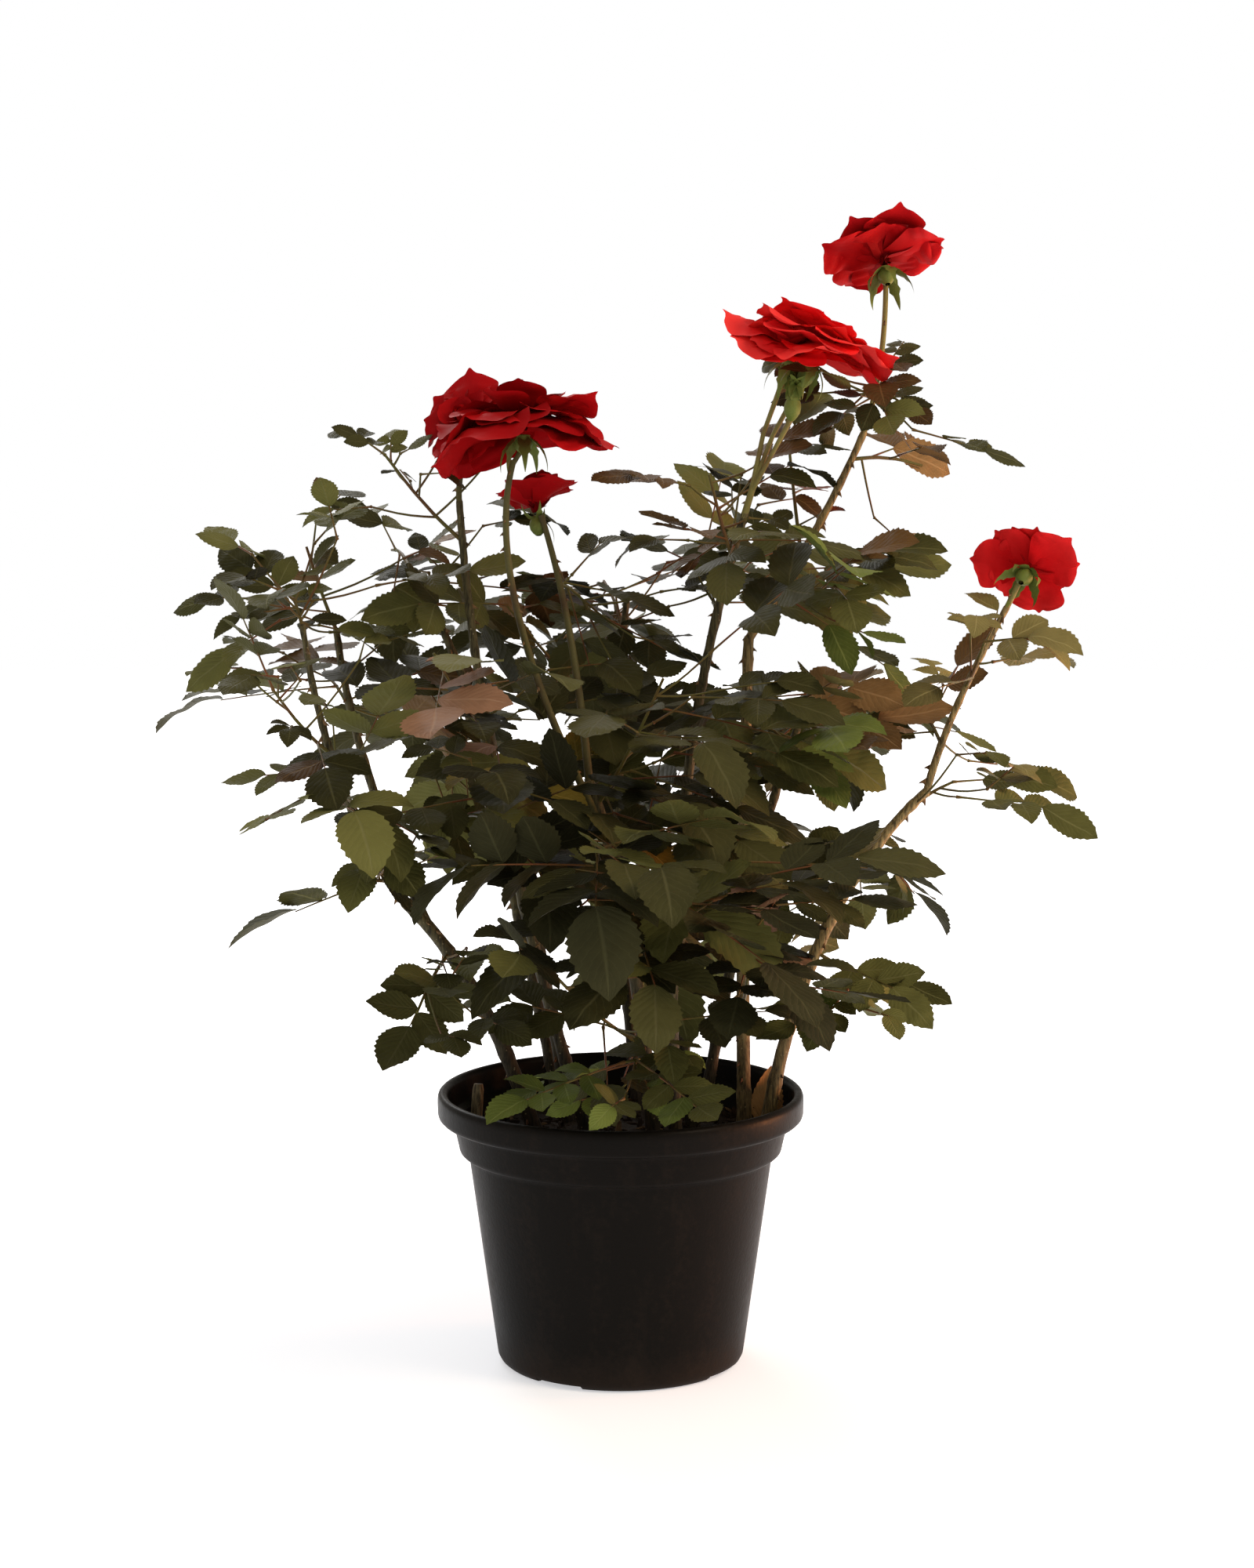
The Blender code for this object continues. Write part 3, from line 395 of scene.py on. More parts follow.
# %% Masses of leaves: parent, where, tip, leaves, leaflet length in mm, pairs, seed
MASSES = {
    "far_left_high": ("left_outer", 1.0, (-0.208, -0.028, 0.506), 1, 35, 3, 10626),
    "left_top": ("left_inner", 1.0, (-0.206, 0.041, 0.535), 4, 29, 1, 10414),
    "far_left_low": ("left_outer", 0.6, (-0.217, -0.075, 0.453), 2, 36, 2, 10455),
    "left_shelf": ("left_inner", 0.7, (-0.195, 0.065, 0.447), 3, 46, 2, 10068),
    "left_mid": ("left_outer", 0.45, (-0.183, -0.082, 0.389), 3, 45, 2, 10333),
    "left_low": ("left_outer", 0.1, (-0.169, -0.074, 0.325), 3, 45, 2, 10615),
    "left_skirt": ("cane_left", 0.72, (-0.129, -0.071, 0.247), 4, 39, 2, 10323),
    "upper_left": ("cane_upper_left", 1.0, (-0.155, 0.114, 0.528), 4, 45, 1, 10090),
    "top_left_twig": ("cane_bloom_left", 0.93, (-0.152, 0.014, 0.596), 2, 24, 2, 10421),
    "mid_left_high": ("cane_upper_left", 0.86, (-0.129, 0.095, 0.514), 4, 39, 3, 10197),
    "left_inner_mid": ("cane_bloom_left", 0.6, (-0.119, -0.032, 0.472), 5, 51, 2, 10402),
    "centre_left": ("cane_bloom_left", 0.42, (-0.092, -0.093, 0.405), 4, 46, 2, 10290),
    "centre_top": ("bud_left", 0.7, (-0.02, 0.041, 0.493), 3, 41, 2, 10239),
    "centre_high": ("cane_back", 0.72, (-0.076, 0.065, 0.495), 3, 39, 3, 10452),
    "centre_mid": ("cane_mid", 0.9, (0.027, -0.063, 0.459), 5, 53, 2, 10378),
    "centre_front": ("cane_mid", 0.62, (-0.017, -0.132, 0.365), 5, 53, 2, 10282),
    "front_left": ("cane_mid", 0.2, (-0.063, -0.125, 0.307), 5, 47, 2, 10090),
    "low_centre": ("cane_centre", 0.9, (0.027, -0.162, 0.351), 6, 51, 2, 10378),
    "sprig_front": ("cane_centre", 0.3, (0.002, -0.118, 0.225), 4, 40, 3, 10030),
    "mid_right_top": ("cane_bloom_right", 0.93, (0.057, 0, 0.584), 3, 39, 2, 10001),
    "mid_right": ("cane_bloom_right", 0.84, (0.056, 0.097, 0.526), 3, 53, 2, 10093),
    "right_upper": ("bough_top_right", 0.2, (0.136, 0.009, 0.498), 3, 52, 2, 10083),
    "top_right_leaves": ("bloom_top_right", 0.25, (0.165, 0.009, 0.64), 4, 32, 1, 10169),
    "top_right_side": ("bough_top_right", 0.88, (0.199, 0.064, 0.587), 2, 48, 1, 10350),
    "new_growth": ("bough_top_right", 0.42, (0.111, 0.098, 0.616), 4, 25, 2, 10180),
    "right_mid": ("cane_top_right", 0.8, (0.135, -0.029, 0.422), 6, 46, 2, 10584),
    "right_brown": ("bough_far_right", 0.3, (0.197, 0.05, 0.428), 4, 31, 1, 10052),
    "right_low": ("cane_far_right", 0.8, (0.151, 0.052, 0.305), 4, 39, 2, 10367),
    "right_skirt": ("cane_far_right", 0.45, (0.164, -0.015, 0.246), 3, 41, 2, 10610),
    "far_right_leaf": ("cane_far_right", 0.9, (0.216, 0, 0.385), 1, 39, 3, 10001),
    "far_right_top": ("bough_far_right", 0.62, (0.23, -0.05, 0.481), 2, 43, 1, 10082),
    "back_left": ("cane_back_left", 1.0, (-0.126, 0.178, 0.403), 4, 47, 2, 10543),
    "back_top": ("cane_back", 0.93, (-0.012, 0.182, 0.502), 5, 47, 2, 10618),
    "back_right": ("cane_back_right", 1.0, (0.15, 0.163, 0.409), 4, 43, 2, 10128),
    "back_low": ("cane_back", 0.45, (0.029, 0.185, 0.319), 5, 47, 2, 10606),
    "front_right": ("cane_top_right", 0.25, (0.08, -0.153, 0.312), 6, 47, 2, 10102),
}


# %% A limb's points, and a shoot's
def knee_of(limb):
    return (limb["start"] + limb["tip"]) / 2 + 2 * limb["bow"]


def bezier(limb, t):
    """A point on a limb, whose middle stands off the straight line by its bow."""
    return (1 - t) ** 2 * limb["start"] + 2 * t * (1 - t) * knee_of(limb) + t * t * limb["tip"]


def heading(limb, t):
    """The way a limb runs at a point."""
    knee = knee_of(limb)
    return (2 * (1 - t) * (knee - limb["start"]) + 2 * t * (limb["tip"] - knee)).normalized()


def radius_at(limb, t):
    return (limb["radii"][0] + (limb["radii"][1] - limb["radii"][0]) * t) * MM


def length_of(limb):
    return (limb["tip"] - limb["start"]).length


def grow_limbs():
    """Every cane and every bloom's stalk, as start, bow, tip and radii."""
    limbs = {}
    for name, (parent, where, bow, tip, radii, *_) in {**CANES, **BLOOMS}.items():
        start = bezier(limbs[parent], where) if parent else Vector((*where, SOIL_TOP))
        limbs[name] = {"start": start, "bow": Vector(bow), "tip": Vector(tip), "radii": radii, "parent": parent}
    return limbs


def shoot_of(name, limbs):
    """The stem of one mass: it leaves its limb and lifts, or arches over where it hangs."""
    parent, where, tip = MASSES[name][:3]
    start, tip = bezier(limbs[parent], where), Vector(tip)
    rise = -0.045 if tip.z > start.z + 0.03 else 0.06
    return {"start": start, "bow": UP * rise * (tip - start).length, "tip": tip, "radii": SHOOT}


# %% One leaf, and the leaves along a shoot
def compound_leaf(origin, along, size, pairs, dice):
    """One leaf: a rib with pairs of leaflets along it and one at its end."""
    face = UP - along * along.z
    face = face.normalized() if face.length > 0.2 else Vector((0, -1, 0.3)).normalized()
    face = turned(face, along, math.radians(dice.gauss(0, 22)))
    side = face.cross(along)
    stalk = (0.55 + 0.3 * dice.random()) * size
    step = 0.52 * size
    end = stalk + step * (pairs - 1) + 0.38 * size
    leaflets = []
    for pair in range(pairs):
        for hand in (-1, 1):
            swing = math.radians(dice.uniform(50, 68))
            dip = -hand * math.radians(dice.uniform(-22, 14))
            way = turned(along * math.cos(swing) + side * hand * math.sin(swing), along, dip)
            up = turned(turned(face, along, dip), way, math.radians(dice.uniform(-18, 18)))
            length = size * (0.70 + 0.16 * (pair + 1) / pairs) * dice.uniform(0.9, 1.08)
            at = stalk + step * pair + hand * STAGGER
            leaflets.append({"at": at, "way": way, "face": up, "length": length})
    nod = math.radians(dice.uniform(-5, 30))
    length = size * dice.uniform(0.98, 1.15)
    leaflets.append({"at": end, "way": turned(along, side, nod), "face": turned(face, side, nod), "length": length})
    for leaflet in leaflets:
        leaflet["base"] = origin + along * leaflet["at"]
    return {"origin": origin, "along": along, "leaflets": leaflets}


def branch_way(stem, angle, splay):
    """The way of a leaf or a twig that splays off a stem, at this angle round it."""
    across = stem.cross(UP if abs(stem.z) < 0.9 else Vector((1, 0, 0))).normalized()
    return stem * math.cos(splay) + turned(across, stem, angle) * math.sin(splay)


def on_stem(shoot, t):
    """A point on the straight runs that a shoot's solid is made of."""
    run = min(int(t * STEM_RUNS), STEM_RUNS - 1)
    return bezier(shoot, run / STEM_RUNS).lerp(bezier(shoot, (run + 1) / STEM_RUNS), t * STEM_RUNS - run)


def leaves_along(shoot, count, size, pairs, seed):
    """The leaves of one mass, each two fifths of a turn round its shoot from the one before."""
    dice = random.Random(seed)
    phase = dice.uniform(0, math.tau)
    leaves = []
    for k in range(count):
        t = 1.0 if count == 1 else 0.25 + 0.75 * k / (count - 1)
        angle = phase + k * TURN + math.radians(dice.uniform(-25, 25))
        splay = math.radians(dice.uniform(18, 35) if t > 0.97 else dice.uniform(42, 72))
        way = branch_way(heading(shoot, min(t, 0.98)), angle, splay)
        level = dice.uniform(0.25, 0.8)
        way.z = way.z * (1 - level) + dice.uniform(-0.22, 0.08)
        grown = size * dice.uniform(0.82, 1.12) * (1.0 if t < 0.9 else 0.92)
        fewer = 1 if dice.random() < 0.25 else 0
        leaves.append(compound_leaf(on_stem(shoot, t), way.normalized(), grown, max(1, pairs - fewer), dice))
    return leaves


# %% [markdown]
# A leaf that would pass through a cane, a bloom, the pot or another mass isn't grown. The test is
# the source's own, with the same plain blades, so both drop the same leaves.

# %% The space test
OUTLINE = ((0, 0), (0.42, 0.5), (1, 0), (0.42, -0.5))
CREST = 0.28                # how far along a blade is thickest
SHELL = [(0, 1, 4), (1, 2, 4), (2, 3, 4), (3, 0, 4), (0, 3, 2, 1)]
ROD = [(0, 1, 4, 3), (1, 2, 5, 4), (2, 0, 3, 5)]


def blade_soup(leaflet, spread, thick, drop=0.0):
    """The blade's corners and faces for the test of its space, wider and thicker than it is."""
    way, length = leaflet["way"], leaflet["length"] + ROOT
    frame = axes(way, leaflet["face"].cross(way).normalized(), leaflet["base"] - way * ROOT)
    wide = leaflet["length"] * LEAF_WIDTH * spread
    points = [frame @ Vector((a * length, b * wide, drop)) for a, b in OUTLINE]
    points.append(frame @ Vector((CREST * length, 0, thick)))
    return points, SHELL


def rod_soup(start, end, radius_start, radius_end):
    """A three-sided rod, as corners and faces."""
    way = (end - start).normalized()
    side = way.orthogonal().normalized()
    points = []
    for centre, radius in ((start, radius_start), (end, radius_end)):
        points += [centre + turned(side, way, k * math.tau / 3) * radius for k in range(3)]
    return points, ROD


def limb_soup(limb, extra, first=0.0, runs=10):
    """A limb from its first share on as straight rods, thicker than it is."""
    shares = [first + (1 - first) * k / runs for k in range(runs + 1)]
    spots = [(bezier(limb, t), radius_at(limb, t) * 1.6 + extra) for t in shares]
    return [rod_soup(a, b, thick_a, thick_b) for (a, thick_a), (b, thick_b) in zip(spots, spots[1:])]


def tree_of(soups):
    """One tree for overlap tests from several lots of corners and faces."""
    points, faces = [], []
    for corners, sides in soups:
        faces += [tuple(i + len(points) for i in side) for side in sides]
        points += corners
    return BVHTree.FromPolygons(points, faces)


def over_pot(points):
    """True where a point would be in the soil or in the pot's wall and lip."""
    return any(p.z < SOIL_TOP + 3 * MM and math.hypot(p.x, p.y) < POT_LIP_RADIUS + POT_CLEAR for p in points)


def lip_space():
    """A ring round the pot's lip and collar, for the leaves' space test."""
    ring, top = bmesh.new(), POT_HEIGHT + POT_CLEAR
    for radius in (POT_LIP_RADIUS + POT_CLEAR, POT_COLLAR_RADIUS - 8 * MM):
        bmesh.ops.create_cone(ring, segments=40, radius1=radius, radius2=radius, depth=top - SOIL_TOP)
    bmesh.ops.bridge_loops(ring, edges=[e for e in ring.edges if e.verts[0].co.z > 0 and e.verts[1].co.z > 0])
    bmesh.ops.translate(ring, verts=ring.verts, vec=UP * (SOIL_TOP + top) / 2)
    tree = BVHTree.FromBMesh(ring)
    ring.free()
    return tree


def kept_leaves(leaves, taken):
    """Drops each blade that would touch a limb, the pot or another mass, or cross a blade of its own."""
    kept, own = [], []
    for leaf in leaves:
        leaf["leaflets"] = [b for b in leaf["leaflets"] if not over_pot(blade_soup(b, 1.0, MM)[0])]
        good = []
        for blade in leaf["leaflets"]:
            tree = tree_of([blade_soup(blade, 1.25, 3 * MM, -1.2 * MM)])
            if not any(tree.overlap(other) for other in taken + own):
                good.append((blade, tree))
        if not good:
            continue
        reach = max(blade["at"] for blade, _ in good)
        foot = leaf["origin"] + leaf["along"] * 4 * MM
        rib = rod_soup(foot, leaf["origin"] + leaf["along"] * reach, 2.2 * MM, 1.8 * MM)
        rib_tree = tree_of([rib])
        if not over_pot(rib[0]) and not any(rib_tree.overlap(other) for other in taken + own):
            kept.append({**leaf, "leaflets": [blade for blade, _ in good], "reach": reach})
            own += [tree for _, tree in good]
    return kept


# %% Grow the limbs, and the masses on them
def limbs_tree(limbs, extra):
    return tree_of([rod for limb in limbs.values() for rod in limb_soup(limb, extra)])


def grow_masses(limbs, rest):
    """The shoot and the kept leaves of every mass, in the table's order; rest is the other taken space."""
    shoots = {name: shoot_of(name, limbs) for name in MASSES}
    taken = [limbs_tree(limbs, 0.8 * MM)] + rest
    stems = {name: tree_of(limb_soup(shoot, 0.8 * MM, 0.12)) for name, shoot in shoots.items()}
    masses = {}
    for name, (*_, count, size, pairs, seed) in MASSES.items():
        others = taken + [tree for other, tree in stems.items() if other != name and other not in masses]
        leaves = kept_leaves(leaves_along(shoots[name], count, size * MM, pairs, seed), others)
        masses[name] = {"shoot": shoots[name], "leaves": leaves}
        taken.append(mass_tree(masses[name]))
    return masses


def mass_tree(mass):
    """The space that a shoot takes up with its ribs and blades."""
    soups = limb_soup(mass["shoot"], 0.0, 0.05)
    for leaf in mass["leaves"]:
        soups.append(rod_soup(leaf["origin"], leaf["origin"] + leaf["along"] * leaf["reach"], RIB, RIB))
        soups += [blade_soup(blade, 1.0, LEAF_THICK) for blade in leaf["leaflets"]]
    return tree_of(soups)


def flower_frames(name, limb):
    """Each flower of a bloom: its frame (z out of the flower's face), its size and how open it is."""
    frames = []
    for k, (offset, face, size, openness) in enumerate(BLOOMS[name][5]):
        frame = facing(Vector(face).normalized(), limb["tip"] + Vector(offset))
        frames.append((frame, size * MM, openness, k))
    return frames


def bloom_space(limbs):
    """Closed forms round the petals, the sepals and the stalks of every flower, for the leaves' space test."""
    trees = []
    for name in BLOOMS:
        stalk = limbs[name]
        for frame, size, openness, _ in flower_frames(name, stalk):
            ball = bmesh.new()
            bmesh.ops.create_icosphere(ball, subdivisions=2, radius=1)
            wide = size * (0.62 + 0.45 * openness)
            for vert in ball.verts:
                vert.co = frame @ Vector((vert.co.x * wide, vert.co.y * wide, size * (0.35 + 0.6 * vert.co.z)))
            trees.append(BVHTree.FromBMesh(ball))
            ball.free()
            low = [spoke(frame, *turn_and_rise) for turn_and_rise in sepal_turns(openness)]
            tips = [place @ Vector((sepal_length(size) + 2 * MM, 0, 0)) for place in low]
            soups = [rod_soup(frame.translation, tip, 6 * MM, 4 * MM) for tip in tips]
            if (frame.translation - stalk["tip"]).length > MM:
                path = pedicel_path(stalk, frame)
                soups += [rod_soup(a, b, 4.5 * MM, 4.5 * MM) for a, b in zip(path, path[1:])]
            trees.append(tree_of(soups))
    return trees


def spoke(frame, turn, rise):
    """The frame of a sepal that leaves the flower's middle at this turn and rise."""
    flat = Vector((math.cos(turn), math.sin(turn), 0))
    way = flat * math.cos(rise) + UP * math.sin(rise)
    return frame @ axes(way, Vector((-math.sin(turn), math.cos(turn), 0)), flat * 1.2 * MM)


def sepal_turns(openness):
    """Each sepal's turn round the flower and its rise; they fold back as the flower opens."""
    return [(k * math.tau / SEPALS + 0.3, math.radians(-30 - 25 * openness)) for k in range(SEPALS)]


def sepal_length(size):
    return 0.62 * min(size, 38 * MM)


def pedicel_path(stalk, frame):
    """The short stalk that carries a flower beside the one at the main stalk's tip."""
    foot = stalk["tip"] - heading(stalk, 1) * BOUGH_LEAD
    offset = frame.translation - stalk["tip"]
    return [foot, foot.lerp(frame.translation, 0.45) - Vector((0.4 * MM, 0, 0)) * (offset.length / (10 * MM)),
            frame.translation]


def blades_on(shoots):
    return sum(len(leaf["leaflets"]) for shoot in shoots for leaf in shoot["leaves"])


limbs = grow_limbs()
keep_clear = bloom_space(limbs) + [lip_space()]
masses = grow_masses(limbs, keep_clear)
print("leaves:", sum(len(mass["leaves"]) for mass in masses.values()), "leaflets:", blades_on(masses.values()))


# %% [markdown]
# ## Finer growth
# The solids carry only the leaves that give the crown its outline. A real shoot has side twigs with
# smaller leaves between them, so each mass here grows a few more, by the same rule and dice, and
# through the same space test. Each number below is one side twig: the seed of its dice.

# %% Side twigs: mass, seeds
TWIG_DICE = 62000           # the seeds below count from here
TWIGS = {
    "far_left_high": (537, 244, 567, 530, 95, 588, 2, 566, 1310, 1242, 1471),
    "left_top": (18, 788),
    "far_left_low": (366, 35, 264, 180, 740),
    "left_shelf": (638, 89, 94, 236, 512, 353),
    "left_mid": (109, 225, 9, 101, 1147, 1151),
    "left_low": (312, 475, 332, 1899),
    "left_skirt": (204, 31, 1425, 1846, 1879),
    "top_left_twig": (496, 604, 380, 697, 272, 737, 55),
    "mid_left_high": (747,),
    "left_inner_mid": (525, 437, 528, 225, 231, 417),
    "centre_left": (437, 760, 63, 510, 231, 542, 693, 37, 392, 555, 266),
    "centre_top": (371, 353, 701, 643, 528, 311, 349),
    "centre_high": (63, 456, 336, 272),
    "centre_mid": (524, 732, 311, 724, 617, 16, 591, 291, 605),
    "centre_front": (382, 247, 525, 7, 482, 795),
    "front_left": (109, 448, 437, 514),
    "low_centre": (217, 63, 741, 139, 437, 1357, 1285, 1347),
    "sprig_front": (434, 369, 8),
    "mid_right_top": (646, 60, 145, 156, 0, 115, 319, 64, 654),
    "mid_right": (156, 239, 123, 614, 583),
    "right_upper": (50, 673, 626, 425, 1399, 1430, 1603),
    "top_right_leaves": (464, 357, 413, 195, 419, 650, 312, 205, 719),
    "top_right_side": (547, 166),
    "right_mid": (759, 359, 625),
    "right_brown": (530, 282),
    "right_low": (257, 773, 596, 165, 325),
    "right_skirt": (602, 501, 255, 1538),
    "far_right_leaf": (732, 274, 496),
    "far_right_top": (352, 71, 425),
    "back_left": (445, 124, 780, 303, 643, 644, 500, 603, 421, 751, 746, 120, 515, 127),
    "back_top": (431, 776, 696, 396, 16, 506, 601, 536, 748, 425, 247, 658, 547, 337),
    "back_right": (365, 555, 7, 185, 145, 436, 84, 631, 557, 220, 75, 36, 336, 235),
    "back_low": (121, 50, 552, 193, 114, 339, 394, 421, 216, 695, 645, 268, 795, 168, 1613),
    "front_right": (711,),
}

# Leaves that the bush has let fall, by their number on the shoot.
FALLEN = {"left_top": [3], "left_mid": [1], "left_low": [2], "left_skirt": [2], "upper_left": [3],
          "mid_left_high": [1], "left_inner_mid": [0, 4], "centre_left": [0], "centre_mid": [4],
          "front_left": [1], "sprig_front": [0], "mid_right_top": [2], "mid_right": [1], "right_upper": [2],
          "top_right_leaves": [1], "new_growth": [2], "right_mid": [4], "right_brown": [2], "right_skirt": [2],
          "back_top": [4]}
for name, gone in FALLEN.items():
    masses[name]["leaves"] = [leaf for k, leaf in enumerate(masses[name]["leaves"]) if k not in gone]


def side_twig(shoot, seed, size, pairs):
    """A thin twig off a shoot, and its leaves."""
    dice = random.Random(seed)
    t = dice.uniform(0.05, 0.97)
    way = branch_way(heading(shoot, t), dice.uniform(0, math.tau), math.radians(dice.uniform(25, 80)))
    way.z = way.z * 0.7 + dice.uniform(-0.2, 0.15)
    start = on_stem(shoot, t)
    length = dice.uniform(8, 62) * MM
    twig = {"start": start, "bow": UP * -0.04 * length, "tip": start + way.normalized() * length, "radii": TWIG}
    grown = size * dice.choice((0.7, 0.8, 0.9, 1.0))
    return twig, leaves_along(twig, dice.choice((1, 1, 2, 2, 3)), grown, dice.choice((1, pairs, 2)), seed)


def grow_twigs(limbs, masses, rest):
    """Each mass's shoot and side twigs with their leaves, less what would touch something already grown."""
    taken = [limbs_tree(limbs, 0.0)] + rest + [mass_tree(mass) for mass in masses.values()]
    grown = {name: [mass] for name, mass in masses.items()}
    for name, seeds in TWIGS.items():
        size, pairs = MASSES[name][4] * MM, MASSES[name][5]
        for seed in seeds:
            twig, leaves = side_twig(masses[name]["shoot"], TWIG_DICE + seed, size, pairs)
            leaves = kept_leaves(leaves, taken)
            if leaves:
                grown[name].append({"shoot": twig, "leaves": leaves})
                taken.append(mass_tree(grown[name][-1]))
    return grown


sprays = grow_twigs(limbs, masses, keep_clear)
print("side twigs:", sum(len(found) - 1 for found in sprays.values()),
      "leaflets:", sum(blades_on(found) for found in sprays.values()))


# %% [markdown]
# ## Leaf colours
# A rose leaf is a waxy sheet: dark and half glossy above, with a pale midrib and side veins that
# run forward to the teeth, and the blade is puffed up a little between them. The veins are drawn
# from the leaflet's own UV map, along and across the blade. Each leaflet also carries one number,
# its tone, which makes it lighter or darker than its neighbours.

# %% Leaf material
def leaf_material(name, deep, light, vein, rough=0.5):
    """Waxy leaf: deep and light are the ends of its tones, vein its midrib and veins."""
    material, tree, shader = fresh(name, IOR=1.45, Specular_IOR_Level=0.05)
    along_and_across = parts_of(tree, place_on(tree, "UV"))
    across = sums(tree, "ABSOLUTE", sums(tree, "SUBTRACT", along_and_across["Y"], 0.5), 0.0)
    slanted = sums(tree, "MULTIPLY_ADD", across, -0.75, along_and_across["X"])
    puff = sums(tree, "PINGPONG", sums(tree, "MULTIPLY", slanted, 8.5), 0.5)
    midrib = remap(tree, across, 0.010, 0.040, 0.62, 0.0)
    veins = remap(tree, puff, 0.02, 0.10, 0.2, 0.0)
    lines = sums(tree, "MAXIMUM", midrib, veins)
    tone = own_tone(tree)
    blotch = speckle(tree, 14 * MM, 2)
    share = sums(tree, "MULTIPLY_ADD", blotch, 0.5, sums(tree, "MULTIPLY", tone, 0.75))
    colour = mix(tree, lines, ramp(tree, share, (0.12, deep), (0.95, light)), vein)
    fine = speckle(tree, 1.6 * MM, 2)
    gloss = remap(tree, fine, 0, 1, rough - 0.07, rough + 0.1)
    relief = sums(tree, "SUBTRACT", sums(tree, "MULTIPLY_ADD", fine, 0.25, puff), lines)
    coat(tree, shader, colour, relief, 0.28 * MM, gloss)
    return material


LEAF = {
    # The deep tint is painted shade, dealt to the masses inside the crown and low at its front.
    "deep": leaf_material("rose_leaf_painted_shade_deep_green", "#232216", "#3e3e28", "#4a4a32"),
    "dark": leaf_material("rose_leaf_waxy_dark_olive", "#2a2917", "#4d4c2c", "#59573a"),
    "olive": leaf_material("rose_leaf_waxy_olive", "#3a3a1e", "#69693a", "#74734a"),
    "fresh": leaf_material("rose_leaf_young_green", "#434f23", "#727e3e", "#7f884e"),
    "bronze": leaf_material("rose_leaf_bronzed", "#3a2a18", "#6e5434", "#7c6340"),
    # A paler tan olive for leaves on the right, where the key light falls: partly their own paler colour, partly
    # painted light.
    "sunlit": leaf_material("rose_leaf_painted_lit_tan_olive", "#57502f", "#8f8452", "#9c9262"),
    "tan": leaf_material("rose_leaf_faded_tan", "#6b4f2e", "#a9855a", "#b9946a", 0.55),
    "yellow": leaf_material("rose_leaf_yellowed", "#5e5420", "#93823c", "#a08e4c"),
    "red": leaf_material("rose_leaf_new_red_brown", "#4a2318", "#8a4a34", "#9a6046", 0.36),
    "rose": leaf_material("rose_leaf_fading_pink_brown", "#5a3f30", "#9a765e", "#a88870"),
}


# %% [markdown]
# ## One leaflet, by hand
# The blade starts as a flat grid one unit long, two faces wide, so its middle line is the midrib.
# Row by row it is scaled across to an oval with a pointed tip; every other row stands out a little
# and leans forward, which makes the teeth. The edges are then raised into a fold, and a bend and a
# twist give each form its own habit.

# %% Leaflet forms
LEAF_ROWS = 22
BLADE = ((0, 0.03), (0.04, 0.27), (0.11, 0.55), (0.22, 0.82), (0.36, 0.98), (0.46, 1.0), (0.58, 0.95),
         (0.70, 0.80), (0.81, 0.57), (0.90, 0.33), (0.96, 0.15), (1, 0.01))


def between(table, s):
    """The value at s, on straight runs between the table's pairs."""
    for (a, low), (b, high) in zip(table, table[1:]):
        if s <= b:
            return low + (high - low) * (s - a) / (b - a)
    return table[-1][1]


def unit_grid(rows, columns):
    """A flat grid from x = 0 to 1 and one unit wide, with its UV map along and across."""
    deselect()
    bpy.ops.mesh.primitive_grid_add(x_subdivisions=rows, y_subdivisions=columns, size=1, location=(0.5, 0, 0))
    return settle(bpy.context.object, "blank")


def widen(s, rows, wide):
    """In edit mode: scales one of the grid's rows across."""
    pick(lambda co: abs(co.x - s) < 0.3 / rows)
    bpy.ops.transform.resize(value=(1, wide, 1), center_override=(s, 0, 0))


def bend(thing, degrees, along="X", low=0.0, high=1.0):
    """Curls a blade up (or down, below zero) along its length, or across it."""
    turn = Matrix.Rotation(-math.pi / 2, 4, "X")
    if along == "Y":
        turn = turn @ Matrix.Rotation(-math.pi / 2, 4, "Z")
    thing.data.transform(turn)
    apply_modifier(thing, "SIMPLE_DEFORM", deform_method="BEND", deform_axis="Z",
                   angle=math.radians(degrees), limits=(low, high))
    thing.data.transform(turn.inverted())


def finished(form, name):
    """Smooths and names a form, and gives it a tone to set on each copy."""
    smooth(form)
    form.name = form.data.name = name
    form.data.attributes.new("tone", "FLOAT", "POINT")
    return form


def leaflet_form(name, fold, droop, twist, cup):
    """A toothed leaflet one unit long: fold raises its edges; droop, twist and cup are in degrees."""
    blade = unit_grid(LEAF_ROWS, 2)
    edit(blade)
    for k in range(LEAF_ROWS + 1):
        s = k / LEAF_ROWS
        wide = LEAF_WIDTH * between(BLADE, s)
        tooth = k % 2 and 1 < k < LEAF_ROWS - 1
        wide *= 1.05 if tooth else 0.95
        widen(s, LEAF_ROWS, wide)
        pick(lambda co: abs(co.x - s) < 0.3 / LEAF_ROWS and abs(co.y) > 1e-5)
        lean = 0.28 / LEAF_ROWS if tooth else 0
        bpy.ops.transform.translate(value=(lean, 0, fold * wide / 2))
    bpy.ops.mesh.select_all(action="SELECT")
    bpy.ops.mesh.remove_doubles(threshold=0.004)
    done()
    bend(blade, droop)
    bend(blade, cup, "Y")
    apply_modifier(blade, "SIMPLE_DEFORM", deform_method="TWIST", deform_axis="X", angle=math.radians(twist))
    roughen(blade, 0.3 + 0.01 * len(name), 0.12, 1, direction="Z")
    return finished(blade, name)


LEAFLETS = [leaflet_form("leaflet_open", 0.12, -14, 5, 8), leaflet_form("leaflet_flat", 0.06, -6, -7, -12),
            leaflet_form("leaflet_folded", 0.38, -20, 9, 0), leaflet_form("leaflet_drooping", 0.18, -38, -10, 6),
            leaflet_form("leaflet_lifted", 0.22, 12, 12, 10)]
print("leaflet forms:", [len(form.data.polygons) for form in LEAFLETS], "faces each")


# %% [markdown]
# ## Planting the leaves
# Each leaf hangs a little under its own weight, so a point out along its rib drops with the square
# of its distance. Its leaflets turn their faces to the light: most to the sky and a little forward,
# those at the crown's edge to the open side. The forms are copied to their places, coloured by
# spray, and joined region by region; each region stands for the solids of its own masses.

